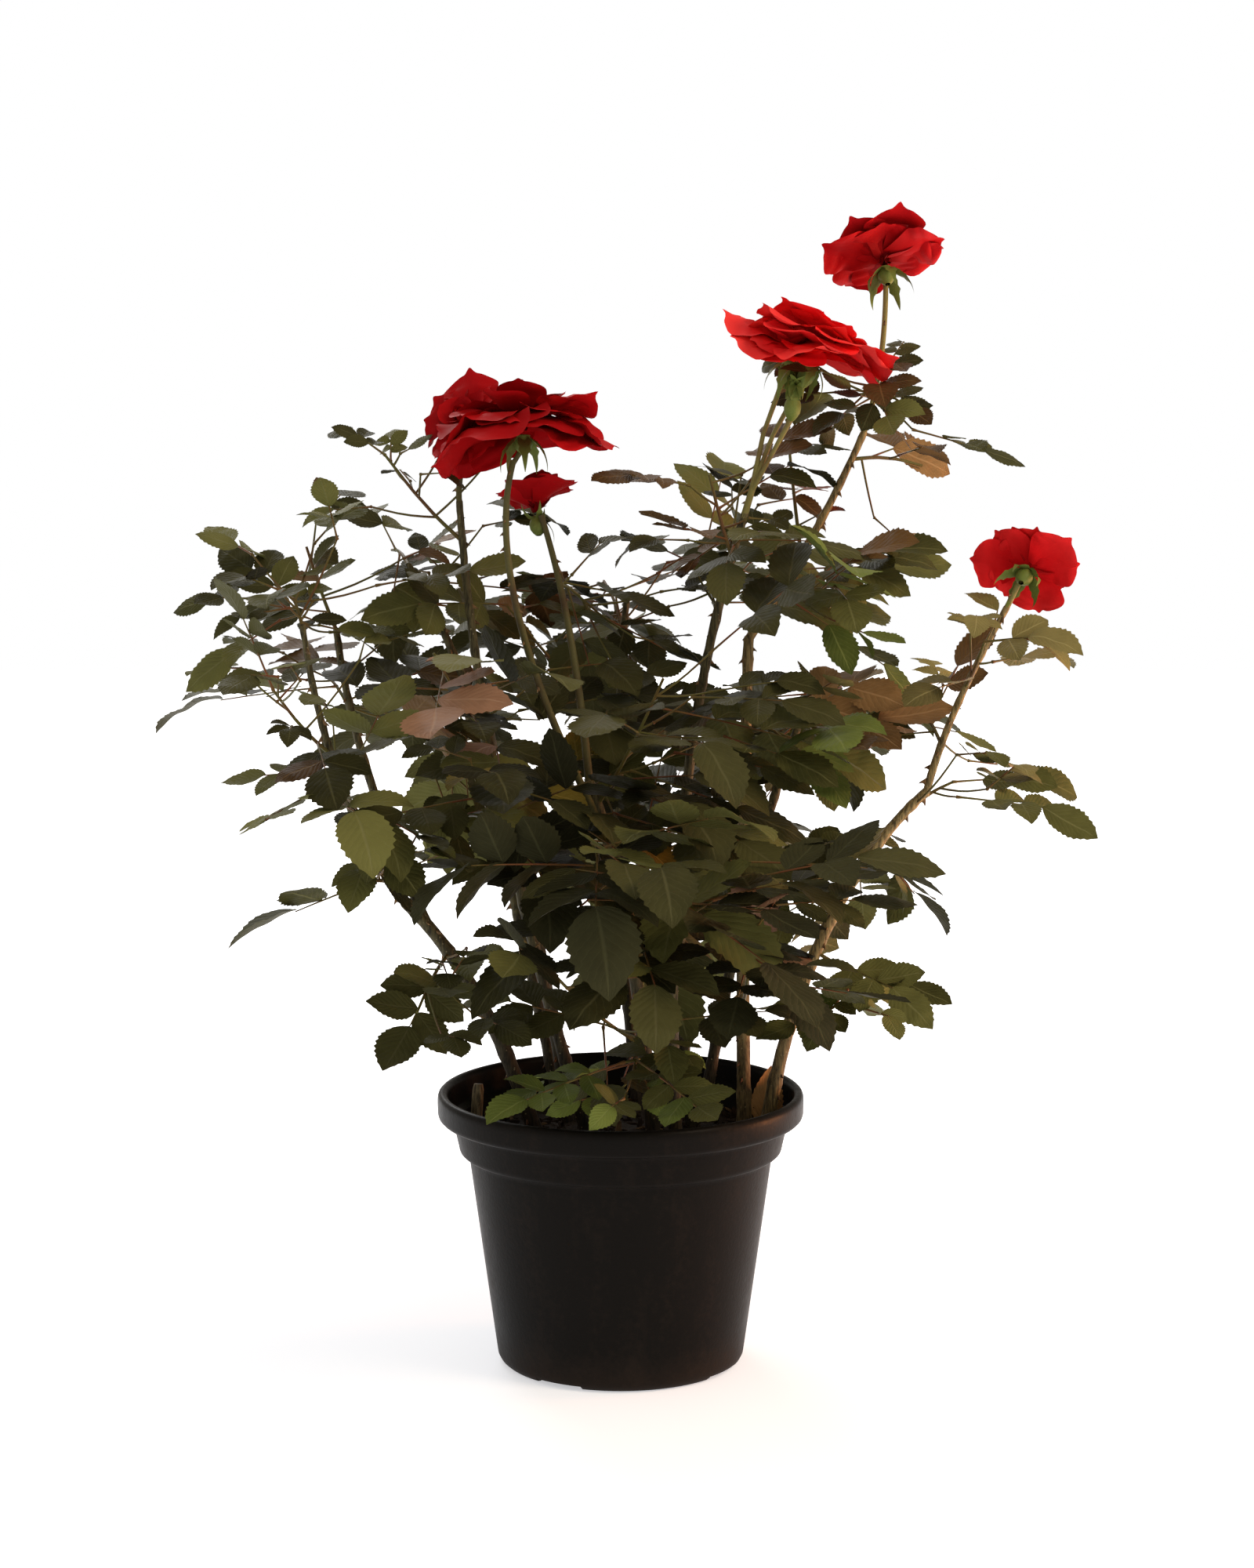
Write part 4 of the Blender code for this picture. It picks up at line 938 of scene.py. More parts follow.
# %% Where each leaflet goes
SAG = 0.5                       # drop per distance squared, 1/m
# A leaflet is a little longer than its solid, whose plain outline has no drawn-out tip.
GROWTH = 1.04
OWN_GROWTH = {"sprig_front": 0.86, "far_left_high": 1.2, "left_top": 1.15, "left_skirt": 1.15,
              "far_right_leaf": 1.1, "top_left_twig": 1.1}
LEAN = (0.4, (0, -0.5, 0.85))   # how far a leaflet's face turns from its solid's pose, and toward what
OPEN_SIDE = (0.55, (0, -0.85, 0.5))
BACK_SIDE = (0.35, (0, 0, 1))
OWN_LEAN = {
    "far_left_high": OPEN_SIDE, "left_top": (0.35, (-0.2, -0.8, 0.6)), "far_left_low": (0.3, (-0.2, -0.7, 0.7)),
    "left_mid": (0.2, (0, 0, 1)), "top_left_twig": OPEN_SIDE, "right_upper": (0.4, (0.1, -0.8, 0.6)),
    "top_right_side": (0.5, (0, -0.9, 0.4)), "top_right_leaves": (0.45, (0, -0.8, 0.6)), "far_right_leaf": OPEN_SIDE,
    "far_right_top": (0.45, (0.2, -0.7, 0.6)), "right_low": (0.2, (0, 0, 1)), "right_skirt": OPEN_SIDE,
    "right_brown": (0.35, (0, -0.7, 0.7)), "sprig_front": (0.3, (0, -0.5, 0.8)), "new_growth": (0.2, (0, 0, 1)),
    "low_centre": (0.55, (0, 0, 1)), "front_left": (0.5, (0, 0, 1)), "centre_front": (0.5, (0, 0, 1)),
    "front_right": (0.5, (0, 0, 1)), "left_skirt": (0.3, (-0.2, -0.7, 0.7)),
    "back_left": BACK_SIDE, "back_top": BACK_SIDE, "back_right": BACK_SIDE, "back_low": BACK_SIDE,
}

REGIONS = {
    "leaves_left": ("left_top", "far_left_low", "left_shelf", "left_mid", "left_low", "left_skirt", "upper_left",
                    "top_left_twig", "mid_left_high", "left_inner_mid"),
    "leaves_centre": ("centre_left", "centre_top", "centre_high", "centre_mid", "centre_front", "front_left",
                      "low_centre", "mid_right_top", "mid_right", "front_right"),
    "leaves_right": ("right_upper", "top_right_leaves", "top_right_side", "right_mid", "right_low", "right_skirt",
                     "far_right_leaf", "far_right_top"),
    "leaves_back": ("back_left", "back_top", "back_right", "back_low"),
    "leaves_pale_sprigs": ("far_left_high", "sprig_front"),
    "leaves_new_growth": ("new_growth",),
    "leaves_tan": ("right_brown",),
}
# The tints of each region's sprays; a tint named twice is dealt twice as often. The deep tint, here and in the
# masses' own tints below, is painted shade for the inside of the crown and its low front.
TINTS = {
    "leaves_left": "olive dark olive dark dark olive bronze",
    "leaves_centre": "dark deep dark dark olive",
    "leaves_right": "olive olive bronze olive olive fresh",
    "leaves_back": "dark olive dark olive",
    "leaves_pale_sprigs": "fresh fresh fresh olive",
    "leaves_new_growth": "red bronze red",
    "leaves_tan": "tan bronze tan",
}
# The paler tan olive dealt to the masses on the right is partly painted light.
OWN_TINTS = {
    "top_right_side": "bronze tan bronze", "top_right_leaves": "dark olive bronze",
    "far_left_high": "olive dark olive", "sprig_front": "fresh fresh olive fresh",
    "left_inner_mid": "dark olive rose dark deep", "mid_left_high": "olive dark bronze dark",
    "front_left": "dark olive dark deep", "centre_front": "dark olive dark deep",
    "low_centre": "deep dark deep deep", "centre_left": "dark yellow dark deep olive",
    "left_skirt": "dark olive olive", "left_low": "olive dark olive", "left_mid": "olive dark olive",
    "front_right": "deep dark deep rose", "right_skirt": "olive fresh olive yellow olive",
    "right_low": "olive dark olive", "far_right_leaf": "sunlit olive sunlit", "mid_right": "olive dark olive",
    "mid_right_top": "olive dark bronze olive", "right_mid": "olive fresh bronze sunlit tan",
    "far_right_top": "sunlit olive sunlit", "right_brown": "tan sunlit bronze tan",
}


def sagged(leaf, distance):
    return leaf["origin"] + leaf["along"] * distance - UP * SAG * distance ** 2


def leaflet_place(leaf, blade, lean, growth, dice):
    """The matrix that puts a unit leaflet on its leaf."""
    drop = UP * 2 * SAG * blade["at"]
    way = blade["way"] - drop * max(0, blade["way"].dot(leaf["along"]))
    way.z *= 1 - 0.6 * lean[0] * lean[1][2]
    way.normalize()
    side = blade["face"].lerp(Vector(lean[1]), lean[0]).cross(way).normalized()
    length = blade["length"] * growth
    return axes(way, side, sagged(leaf, blade["at"])) @ scaled(length, length * dice.uniform(0.92, 1.1), length)


def planted(name, dealt, seed):
    """Copies of the leaflet forms, one for each leaflet of the sprays, joined into one piece."""
    dice = random.Random(seed)
    copies = []
    for tints, lean, growth, leaves in dealt:
        for leaf in leaves:
            tint = LEAF[dice.choice(tints)]
            base = dice.random()
            for blade in leaf["leaflets"]:
                form = dice.choice(LEAFLETS)
                place = leaflet_place(leaf, blade, lean, growth, dice)
                tone = min(1, max(0, base + dice.uniform(-0.22, 0.22)))
                copies.append(copied(form, place, LEAF[dice.choice(tints)] if dice.random() < 0.15 else tint, tone))
    return join(copies, name)


# %% Plant them, region by region
SLOTS = {"leaves_pale_sprigs": "leaf_pale", "leaves_new_growth": "leaf_new", "leaves_tan": "leaf_brown"}
for number, (region, names) in enumerate(REGIONS.items()):
    dealt = []
    for name in names:
        look = OWN_TINTS.get(name, TINTS[region]).split(), OWN_LEAN.get(name, LEAN), OWN_GROWTH.get(name, GROWTH)
        dealt += [(*look, spray["leaves"]) for spray in sprays[name]]
    show(planted(region, dealt, 40 + number), None, *names, slot=SLOTS.get(region, "leaf_green"))
for form in LEAFLETS:
    bpy.data.objects.remove(form)


# %% [markdown]
# ## Stems and leaf stalks
# The leaves need stalks. A shoot is green wood two or three millimetres thick, a leaf's stalk is
# thinner and often red, and it bows under the leaflets. Hundreds of them would be slow to model one
# by one, so they are splines of a single curve with a round bevel, made a mesh at the end.

# %% Tubes along paths
def tubes(name, runs, sides=1):
    """Round tubes through runs of points, each with a radius in metres, as one mesh."""
    deselect()
    bpy.ops.curve.primitive_bezier_curve_add()
    holder = bpy.context.object
    curve = holder.data
    curve.splines.clear()
    curve.bevel_depth, curve.bevel_resolution, curve.use_fill_caps = 1.0, sides, True
    for points, radii in runs:
        spline = curve.splines.new("POLY")
        spline.points.add(len(points) - 1)
        for spot, co, radius in zip(spline.points, points, radii):
            spot.co, spot.radius = (*co, 1), radius
    only(holder)
    bpy.ops.object.convert(target="MESH")
    bpy.ops.object.shade_smooth()
    return settle(bpy.context.object, name)


def shoot_run(shoot, steps):
    """A shoot as points and radii, a little thinner than its solid."""
    shares = [k / steps for k in range(steps + 1)]
    return [on_stem(shoot, t) for t in shares], [radius_at(shoot, t) * 0.8 for t in shares]


def rib_run(leaf):
    """A leaf's stalk and rib, from inside its shoot to the base of its last leaflet."""
    reach = leaf["reach"] + 1.5 * MM
    shares = (-0.01, 0.02, 0.06, 0.25, 0.5, 0.75, 1.0)
    thick = (1.25, 1.15, 0.8, 0.68, 0.6, 0.52, 0.4)
    return [sagged(leaf, reach * s) for s in shares], [r * MM for r in thick]


# %% [markdown]
# Young rose wood is green, and flushed red where the sun reaches it. Both are in one material: a
# broad noise picks the flush, and a fine one breaks the gloss.

# %% Green wood and leaf stalks
def green_wood(name, green, flush, share):
    """Soft green skin of young shoots, flushed with red-brown."""
    material, tree, shader = fresh(name, IOR=1.45, Specular_IOR_Level=0.2)
    broad = speckle(tree, 26 * MM, 2)
    colour = ramp(tree, broad, (share - 0.12, green), (share + 0.12, flush))
    fine = speckle(tree, 1.2 * MM, 2)
    shaded = mix(tree, sums(tree, "MULTIPLY", fine, 0.35), colour, "#23250f")
    coat(tree, shader, shaded, fine, 0.25 * MM, remap(tree, fine, 0, 1, 0.38, 0.6))
    return material


SHOOT_GREEN = green_wood("rose_shoot_green_wood", "#625f30", "#6a4a2c", 0.54)
RIB_RED = green_wood("rose_leaf_stalk_flushed", "#665f30", "#74472c", 0.50)

shoot_runs, rib_runs = [], []
for mass, *twigs in sprays.values():
    shoot_runs += [shoot_run(mass["shoot"], 8)] + [shoot_run(twig["shoot"], 5) for twig in twigs]
    rib_runs += [rib_run(leaf) for spray in (mass, *twigs) for leaf in spray["leaves"]]
show(tubes("shoots", shoot_runs, 2), SHOOT_GREEN, slot="cane_green")
show(tubes("leaf_stalks", rib_runs, 1), RIB_RED, slot="cane_green")


# %% [markdown]
# ## Canes
# A rose cane is round, thickens at each old leaf joint, and carries a scar there. Low down its bark
# is dark brown and cracked lengthwise; higher up it is still green-grey. Each cane is a tube whose
# radius swells at its joints, then two Displace modifiers give it a fine uneven bark.

# %% Bark material
def bark_material(name, low, high, turn_at, spread):
    """Bark that goes from brown at the foot to green-grey above, with lengthwise cracks and lenticels."""
    material, tree, shader = fresh(name, IOR=1.45, Specular_IOR_Level=0.3)
    place = place_on(tree)
    height = parts_of(tree, place)["Z"]
    cracks = speckle(tree, 1.6 * MM, 4, (1, 1, 0.12), 0.65)
    patches = speckle(tree, 18 * MM, 3)
    up = sums(tree, "MULTIPLY_ADD", patches, spread, height)
    base = mix(tree, remap(tree, up, turn_at, turn_at + spread), low, high)
    dark = ramp(tree, cracks, (0.36, "#7a7a7a"), (0.62, "#ffffff"))
    colour = mix(tree, 1.0, base, dark, "MULTIPLY")
    spots = add(tree, "ShaderNodeTexVoronoi", inputs={"Vector": place, "Scale": 1 / (4.2 * MM)}).outputs["Distance"]
    lenticel = remap(tree, spots, 0.10, 0.16, 0.5, 0.0)
    colour = mix(tree, lenticel, colour, "#9a8f6e")
    gloss = remap(tree, cracks, 0, 1, 0.78, 0.5)
    coat(tree, shader, colour, sums(tree, "MULTIPLY_ADD", lenticel, 0.4, cracks), 0.5 * MM, gloss)
    return material


BARK = bark_material("rose_cane_bark", "#2f261a", "#5c5536", 0.24, 0.16)
# A paler tan bark for the canes on the right, where the key light falls: partly their own colour, partly painted
# light.
TAN_BARK_PAINTED_LIT = bark_material("rose_cane_bark_painted_lit_tan", "#5a4a30", "#9a8658", 0.2, 0.2)
PRICKLE = bark_material("rose_prickle_horn", "#5a3a28", "#8a6a44", 0.22, 0.12)


# %% Canes and boughs
def bark_relief(thing, lump, fine):
    """Two scales of unevenness, pushed out along the normals."""
    for size, strength in ((6 * MM, lump), (2.2 * MM, fine)):
        roughen(thing, size, strength)


def cane_run(limb, dice):
    """A cane's points and radii, swollen at its leaf joints, from inside what bears it."""
    length, rooted = length_of(limb), limb["parent"] is None
    steps = max(12, round(length / (3.5 * MM)))
    joints = [dice.uniform(0.02, 0.05)]
    while joints[-1] < length:
        joints.append(joints[-1] + dice.uniform(0.022, 0.045))
    points = [limb["start"] - heading(limb, 0) * (FOOT_LEAD if rooted else BOUGH_LEAD)]
    radii = [radius_at(limb, 0)]
    for k in range(steps + 1):
        t = k / steps
        near = min(abs(t * length - joint) for joint in joints)
        swell = 1 + 0.16 * math.exp(-(near / (3.2 * MM)) ** 2)
        if rooted:
            swell += 0.22 * math.exp(-t * length / FLARE)
        points.append(bezier(limb, t))
        radii.append(radius_at(limb, t) * swell)
    return points, radii


for number, name in enumerate(CANES):
    dice = random.Random(700 + number)
    points, radii = cane_run(limbs[name], dice)
    end = heading(limbs[name], 1)
    points += [points[-1] + end * 0.5 * radii[-1], points[-1] + end * 0.8 * radii[-1]]
    radii += [radii[-1] * 0.85, radii[-1] * 0.45]
    cane = tubes("bark_" + name, [(points, radii)], 6)
    bark_relief(cane, 0.7 * MM, 0.35 * MM)
    # Canes on the right take the paler tan bark, partly as painted light.
    skin = TAN_BARK_PAINTED_LIT if "far_right" in name or "top_right" in name else BARK
    show(cane, skin, name, slot="cane_bark" if limbs[name]["parent"] is None else "cane_green")


# %% [markdown]
# ## Prickles
# A prickle is an outgrowth of the bark: a flat oval foot and a hooked point that aims down the cane.
# One is drawn out of a small circle, ring by ring, and copied down each cane at random turns.

# %% One prickle, and its copies
deselect()
bpy.ops.mesh.primitive_circle_add(vertices=8, radius=1, fill_type="NOTHING")
prickle = settle(bpy.context.object, "prickle")
edit(prickle)
bpy.ops.transform.resize(value=(0.85, 0.34, 1), center_override=(0, 0, 0))
middle = Vector((0, 0, 0))
for back, rise, long, wide in ((0.08, 0.3, 0.62, 0.7), (0.18, 0.4, 0.6, 0.65), (0.3, 0.42, 0.55, 0.6),
                               (0.34, 0.26, 0.15, 0.2)):
    step = Vector((-back, 0, rise))
    middle += step
    bpy.ops.mesh.extrude_edges_move(TRANSFORM_OT_translate={"value": step})
    bpy.ops.transform.resize(value=(long, wide, 1), center_override=middle)
bpy.ops.mesh.merge(type="CENTER")
outward()
smooth(prickle)

copies = []
dice = random.Random(61)
for name in (*CANES, *BLOOMS):
    limb = limbs[name]
    length = length_of(limb)
    along = dice.uniform(6, 16) * MM
    while along < length - 6 * MM:
        t = along / length
        stem = heading(limb, t)
        out = turned(stem.orthogonal().normalized(), stem, dice.uniform(0, math.tau))
        place = axes(stem, out.cross(stem), bezier(limb, t) + out * radius_at(limb, t) * 0.88)
        size = dice.uniform(2.0, 3.3) * MM * (1.0 if name in CANES else 0.7)
        copies.append(copied(prickle, place @ scaled(size, size, size), PRICKLE))
        along += dice.uniform(7, 24) * MM
print("prickles:", len(copies))
bpy.data.objects.remove(prickle)
show(join(copies, "prickles"), None, slot="cane_bark")


# %% [markdown]
# ## Petals
# A garden rose is a spiral of two dozen petals or more, each a fifth and a bit of a turn from the last.
# The outer ones are broad and roll back at the rim, those in the middle stand and cup, and the
# heart's are small and folded. Seven forms are shaped from a flat grid by scaling its rows. Bends
# cup them, they are subdivided once, and a soft noise ruffles them.

# %% Petal forms
PETAL_ROWS, PETAL_COLUMNS = 10, 6
PETAL = ((0, 0.20), (0.12, 0.44), (0.3, 0.80), (0.5, 1.04), (0.68, 1.13), (0.82, 1.06), (0.93, 0.84), (1, 0.42))


def petal_form(name, wide, cup, lift, shoulder, roll, ruffle, point):
    """A petal one unit long: cup is across it, lift along it, shoulder drops the rim's two corners
    so that its middle stands as a point, and roll is the rim's turn back."""
    petal = unit_grid(PETAL_ROWS, PETAL_COLUMNS)
    edit(petal)
    for k in range(PETAL_ROWS + 1):
        s = k / PETAL_ROWS
        widen(s, PETAL_ROWS, wide * between(PETAL, s))
    pick(lambda co: co.x > 1 - 0.3 / PETAL_ROWS and abs(co.y) < 0.02)
    bpy.ops.transform.translate(value=(point, 0, 0))
    pick(lambda co: co.x > 0.5 and abs(co.y) > 0.3 * wide)
    bpy.ops.transform.translate(value=(-0.03, 0, -shoulder))
    pick(lambda co: co.x > 0.72 and abs(co.y) > 0.12 * wide)
    bpy.ops.transform.translate(value=(-0.02, 0, -0.7 * shoulder))
    done()
    bend(petal, cup, "Y")
    bend(petal, lift)
    bend(petal, roll, "X", 0.6, 1.0)
    apply_modifier(petal, "SUBSURF", levels=1, render_levels=1)
    roughen(petal, 0.36 + 0.02 * len(name), ruffle, 1, direction="Z")
    return finished(petal, name)


OUTER = petal_form("petal_outer", 0.92, 22, 16, 0.10, -26, 0.24, 0.14)
BROAD = petal_form("petal_broad_outer", 1.08, 34, 14, 0.12, -34, 0.26, 0.12)
HANGING = petal_form("petal_hanging", 1.06, 34, -14, 0.08, -24, 0.26, 0.08)
MIDDLE = petal_form("petal_middle", 1.0, 56, 26, 0.09, -40, 0.22, 0.10)
INNER = petal_form("petal_inner", 0.86, 104, 30, 0.04, -24, 0.16, 0.06)
HEART = petal_form("petal_heart", 0.66, 165, 26, 0.0, 0, 0.08, 0.0)
STANDING = petal_form("petal_standing", 0.98, 112, 10, 0.04, -36, 0.16, 0.12)
print("petal faces:", len(OUTER.data.polygons))


# %% [markdown]
# Red petals look like velvet: their skin is made of tiny cones that scatter light at grazing angles,
# so the edges glow and the folds go nearly black-red. Sheen gives that glow. The colour is painted
# darker at the claw and in the heart, as shade of the folds.

# %% Petal and sepal materials
def petal_material(name, deep, mid, light):
    """Velvet petal: painted darker at the claw and lighter on the rim, as shade of the folds, each petal with its own
    tone.
    """
    material, tree, shader = fresh(name, IOR=1.4, Specular_IOR_Level=0.06, Roughness=0.62, Sheen_Weight=0.12,
                                   Sheen_Roughness=0.4)
    shader.inputs["Sheen Tint"].default_value = linear("#ff4238")
    out = parts_of(tree, place_on(tree, "UV"))["X"]
    tone = own_tone(tree)
    veins = speckle(tree, 0.05, 3, (0.12, 1, 1), at="UV")
    # Darker towards the claw and on the heart's petals, through their tone: painted shade.
    share = sums(tree, "MULTIPLY_ADD", out, 0.45, sums(tree, "MULTIPLY", tone, 0.5))
    share = sums(tree, "MULTIPLY_ADD", veins, 0.14, share)
    coat(tree, shader, ramp(tree, share, (0.15, deep), (0.6, mid), (1.0, light)), veins, 0.1 * MM)
    return material


# Three copies of one velvet red: the plain one, a lighter one that is painted light, and a darker one that is painted
# shade.
PETAL_RED = petal_material("rose_petal_velvet_red", "#5c0306", "#c40d13", "#e42a2c")
PETAL_PAINTED_LIT = petal_material("rose_petal_velvet_red_painted_lit", "#960b10", "#ee242a", "#f84a46")
PETAL_PAINTED_SHADE = petal_material("rose_petal_velvet_red_painted_shade", "#420204", "#98080e", "#bc141a")
SEPAL_GREEN = green_wood("rose_hip_and_sepal_green", "#6f7d3a", "#5a4a28", 0.66)
STALK_GREEN = green_wood("rose_flower_stalk_green", "#86804a", "#6e5634", 0.6)
STALK_SHADED = green_wood("rose_flower_stalk_shaded", "#5a5632", "#4c3c26", 0.6)


# %% [markdown]
# ## The hip and the sepals
# Under the petals sits a green urn, the hip to be, with five narrow sepals that fold back as the
# flower opens. The urn is a circle extruded ring by ring; the sepal is a grid narrowed to a long
# point, with a small lobe on each side.

# %% One hip, one sepal
deselect()
bpy.ops.mesh.primitive_circle_add(vertices=12, radius=0.3, fill_type="NOTHING", location=(0, 0, -1.35))
hip = settle(bpy.context.object, "hip")
edit(hip)
lathe(0.3, -1.35, ((0.62, -1.13), (0.92, -0.83), (1.0, -0.48), (0.9, -0.18), (0.7, 0.04), (0.78, 0.18), (0.3, 0.26)))
bpy.ops.mesh.edge_face_add()
outward()
smooth(hip)

SEPAL = ((0, 0.5), (0.15, 0.9), (0.3, 1.0), (0.42, 0.72), (0.5, 0.95), (0.6, 0.5), (0.8, 0.3), (1, 0.04))
SEPAL_ROWS = 10
sepal = unit_grid(SEPAL_ROWS, 2)
edit(sepal)
for k in range(SEPAL_ROWS + 1):
    s = k / SEPAL_ROWS
    widen(s, SEPAL_ROWS, 0.30 * between(SEPAL, s))
    pick(lambda co: abs(co.x - s) < 0.03 and abs(co.y) > 1e-4)
    bpy.ops.transform.translate(value=(0, 0, 0.05 * (1 - s)))
done()
bend(sepal, -74)
smooth(sepal)
print("hip faces:", len(hip.data.polygons), "sepal faces:", len(sepal.data.polygons))


# %% [markdown]
# ## Opening the flowers
# Each flower has a frame whose z axis looks out of its face. A petal's place is its turn round that
# axis, its rise off the flower's plane, and a small step out from the middle. The spiral runs from
# the outermost petal in, and a bud is the same spiral with every petal raised.

# %% Where each petal goes
# Each flower as it is posed: its step off its stalk's tip and its reach in mm, the way it faces, the rise
# of its outer petals in degrees, and its dice.
POSED = {
    "bloom_top_right": [((-0.4, -0.4, 2.8), 44, (-0.12, 0.59, 0.8), 40, 733)],
    "blooms_right": [
        ((5.7, -3, 12.1), 49.2, (0.1, -0.37, 0.92), 47, 1671),
        ((2.9, -2.2, 11.2), 55.2, (0.45, 0.21, 0.87), 35, 856)],
    "bloom_left_outer": [((8.2, -2.2, 21.3), 41.2, (-0.47, -0.59, 0.66), 22, 3234)],
    "bloom_left": [((6, 1.7, 14.1), 62, (-0.01, 0.09, 1), 6, 4714)],
    "bud_left": [((-2.4, 5.7, -2.9), 32, (-0.07, 0.29, 0.95), 64, 8392)],
    "bloom_far_right": [((3.4, 1.9, 2.9), 34.4, (0.38, 0.8, 0.47), 36, 3772)],
}


PETALS, BUD_PETALS = 24, 11         # in an open flower, and in a bud
PETAL_TURN = math.radians(137.5)    # from one petal to the next in the spiral
BUD_RISE = 50                       # degrees; with outer petals steeper than this a flower is a bud


def petal_place(frame, turn, rise, step, lift):
    """Puts a petal's root a step off the axis, with the blade rising and its hollow to the heart."""
    place = Matrix.Rotation(turn, 4, "Z") @ Matrix.Translation((step, 0, lift)) @ Matrix.Rotation(-rise, 4, "Y")
    return frame @ place


def opened(frame, reach, low, seed):
    """Every petal of one flower as (form, matrix, tone); low is the rise of the outermost."""
    dice = random.Random(seed)
    bud = low > BUD_RISE
    count = BUD_PETALS if bud else PETALS
    petals = []
    for k in range(count):
        s = k / (count - 1)
        rise = math.radians(low + (84 - low) * s ** 0.8 + dice.uniform(-9, 9))
        outer = HANGING if low < 12 and dice.random() < 0.4 else BROAD if dice.random() < 0.5 else OUTER
        form = outer if s < 0.4 else MIDDLE if s < 0.64 else INNER if s < 0.86 else HEART
        if bud:
            form = STANDING if s < 0.55 else INNER if s < 0.8 else HEART
        length = reach * (1.0 - (0.2 if bud else 0.58) * s) * dice.uniform(0.84, 1.06)
        wide = length * dice.uniform(0.88, 1.14)
        turn = k * PETAL_TURN + dice.uniform(-0.25, 0.25)
        place = petal_place(frame, turn, rise, (4.5 - 3.4 * s) * MM, (1 + 4 * s) * MM)
        lean = Matrix.Rotation(math.radians(dice.uniform(-20, 20)), 4, "X")
        # The tone falls from the outer petals to the heart's, which are painted darker: painted shade of the folds.
        tone = min(1, max(0, 0.75 - 0.55 * s + dice.uniform(-0.2, 0.2)))
        petals.append((form, place @ lean @ scaled(length, wide, length), tone))
    return petals


# %% A bud still closed in its sepals
def hip_at(place, wide, tall):
    """A copy of the hip, its width and height in mm."""
    return copied(hip, place @ scaled(wide * MM, wide * MM, tall * MM), SEPAL_GREEN)


def closed_bud(stalk, offset, greens):
    """A green bud beside an open flower: a tall hip, and its sepals folded up to a point."""
    place = facing((0.1, -0.05, 1), stalk["tip"] + offset)
    greens.append(hip_at(place, 5.6, 10))
    for k in range(SEPALS):
        fold = place @ Matrix.Rotation(k * math.tau / SEPALS, 4, "Z") @ Matrix.Translation((3.6 * MM, 0, 0))
        way = fold @ Matrix.Rotation(math.radians(-98), 4, "Y")
        greens.append(copied(sepal, way @ scaled(24 * MM, 32 * MM, -18 * MM), SEPAL_GREEN))
    foot = stalk["tip"] - heading(stalk, 1) * BOUGH_LEAD
    end = place @ Vector((0, 0, -12 * MM))
    return [foot, foot.lerp(end, 0.5) + Vector((0, -MM, 0)), end], [1.7 * MM, 1.4 * MM, 1.8 * MM]


# %% Each bloom: petals, then its hip, sepals and stalk
# Each bloom takes the copy for how the light falls on it: the pair on the right the lighter one, as painted light;
# the blooms on the left, the bud and the bloom at the top right, which faces away, the darker one, as painted shade.
PETAL_SKINS = {"blooms_right": PETAL_PAINTED_LIT, "bloom_far_right": PETAL_RED}
CLOSED_BUD_AT = Vector((0.025, -0.013, 0.056))
for name in BLOOMS:
    stalk = limbs[name]
    petals, greens = [], []
    steps = max(8, round(length_of(stalk) / (4 * MM)))
    path = [bezier(stalk, k / steps) for k in range(steps + 1)]
    path.insert(0, path[0] - heading(stalk, 0) * BOUGH_LEAD)
    runs = [(path, [radius_at(stalk, max(0, k - 1) / steps) for k in range(steps + 2)])]
    for frame, size, openness, k in flower_frames(name, stalk):
        step, reach, face, low, seed = POSED[name][k]
        place = facing(face, frame.translation + Vector(step) * MM)
        for form, matrix, tone in opened(place, reach * MM, low, seed):
            petals.append(copied(form, matrix, PETAL_SKINS.get(name, PETAL_PAINTED_SHADE), tone))
        greens.append(hip_at(place, 5.8, 13 if name == "blooms_right" else 8))
        for turn, rise in sepal_turns(openness):
            hugs = openness < 0.5 and len(greens) != 3
            way = spoke(place, turn, 0.1 if hugs else rise + 0.6 * openness)
            length = sepal_length(size) * (0.9 if hugs else 1.2)
            greens.append(copied(sepal, way @ scaled(length, length, -length if hugs else length), SEPAL_GREEN))
        if (frame.translation - stalk["tip"]).length > MM:
            runs.append((pedicel_path(stalk, place), [1.9 * MM, 1.5 * MM, 1.9 * MM]))
        else:
            foot, neck = path[-2], place @ Vector((0, 0, -6 * MM))
            runs.append(([foot, foot.lerp(neck, 0.5), neck], [1.7 * MM, 1.6 * MM, 2.2 * MM]))
    if name == "blooms_right":
        runs.append(closed_bud(stalk, CLOSED_BUD_AT, greens))
    greens.append(tubes("stalk", runs, 3))
    greens[-1].data.materials.append(STALK_SHADED if "left" in name else STALK_GREEN)
    show(join(petals, "petals_" + name), None, name, slot="petal_red")
    show(join(greens, "stalk_" + name), None, slot="cane_green")
for form in (OUTER, BROAD, HANGING, MIDDLE, INNER, HEART, STANDING, hip, sepal):
    bpy.data.objects.remove(form)


# %% [markdown]
# ## The nursery pot
# A container rose is sold in a blow-moulded black pot: a rolled lip, a collar below it, a step, and
# a plain wall that narrows to a base with four low notches. It is drawn as by hand: a circle at the
# middle of the floor is extruded out, up the inside, over the lip and down the outside.

# %% The pot's profile, drawn up from the floor and down again
def off(radius, level, *steps):
    """Points of a profile, each given as mm out from a radius and mm up from a level."""
    return [(radius + out * MM, level + up * MM) for out, up in steps]


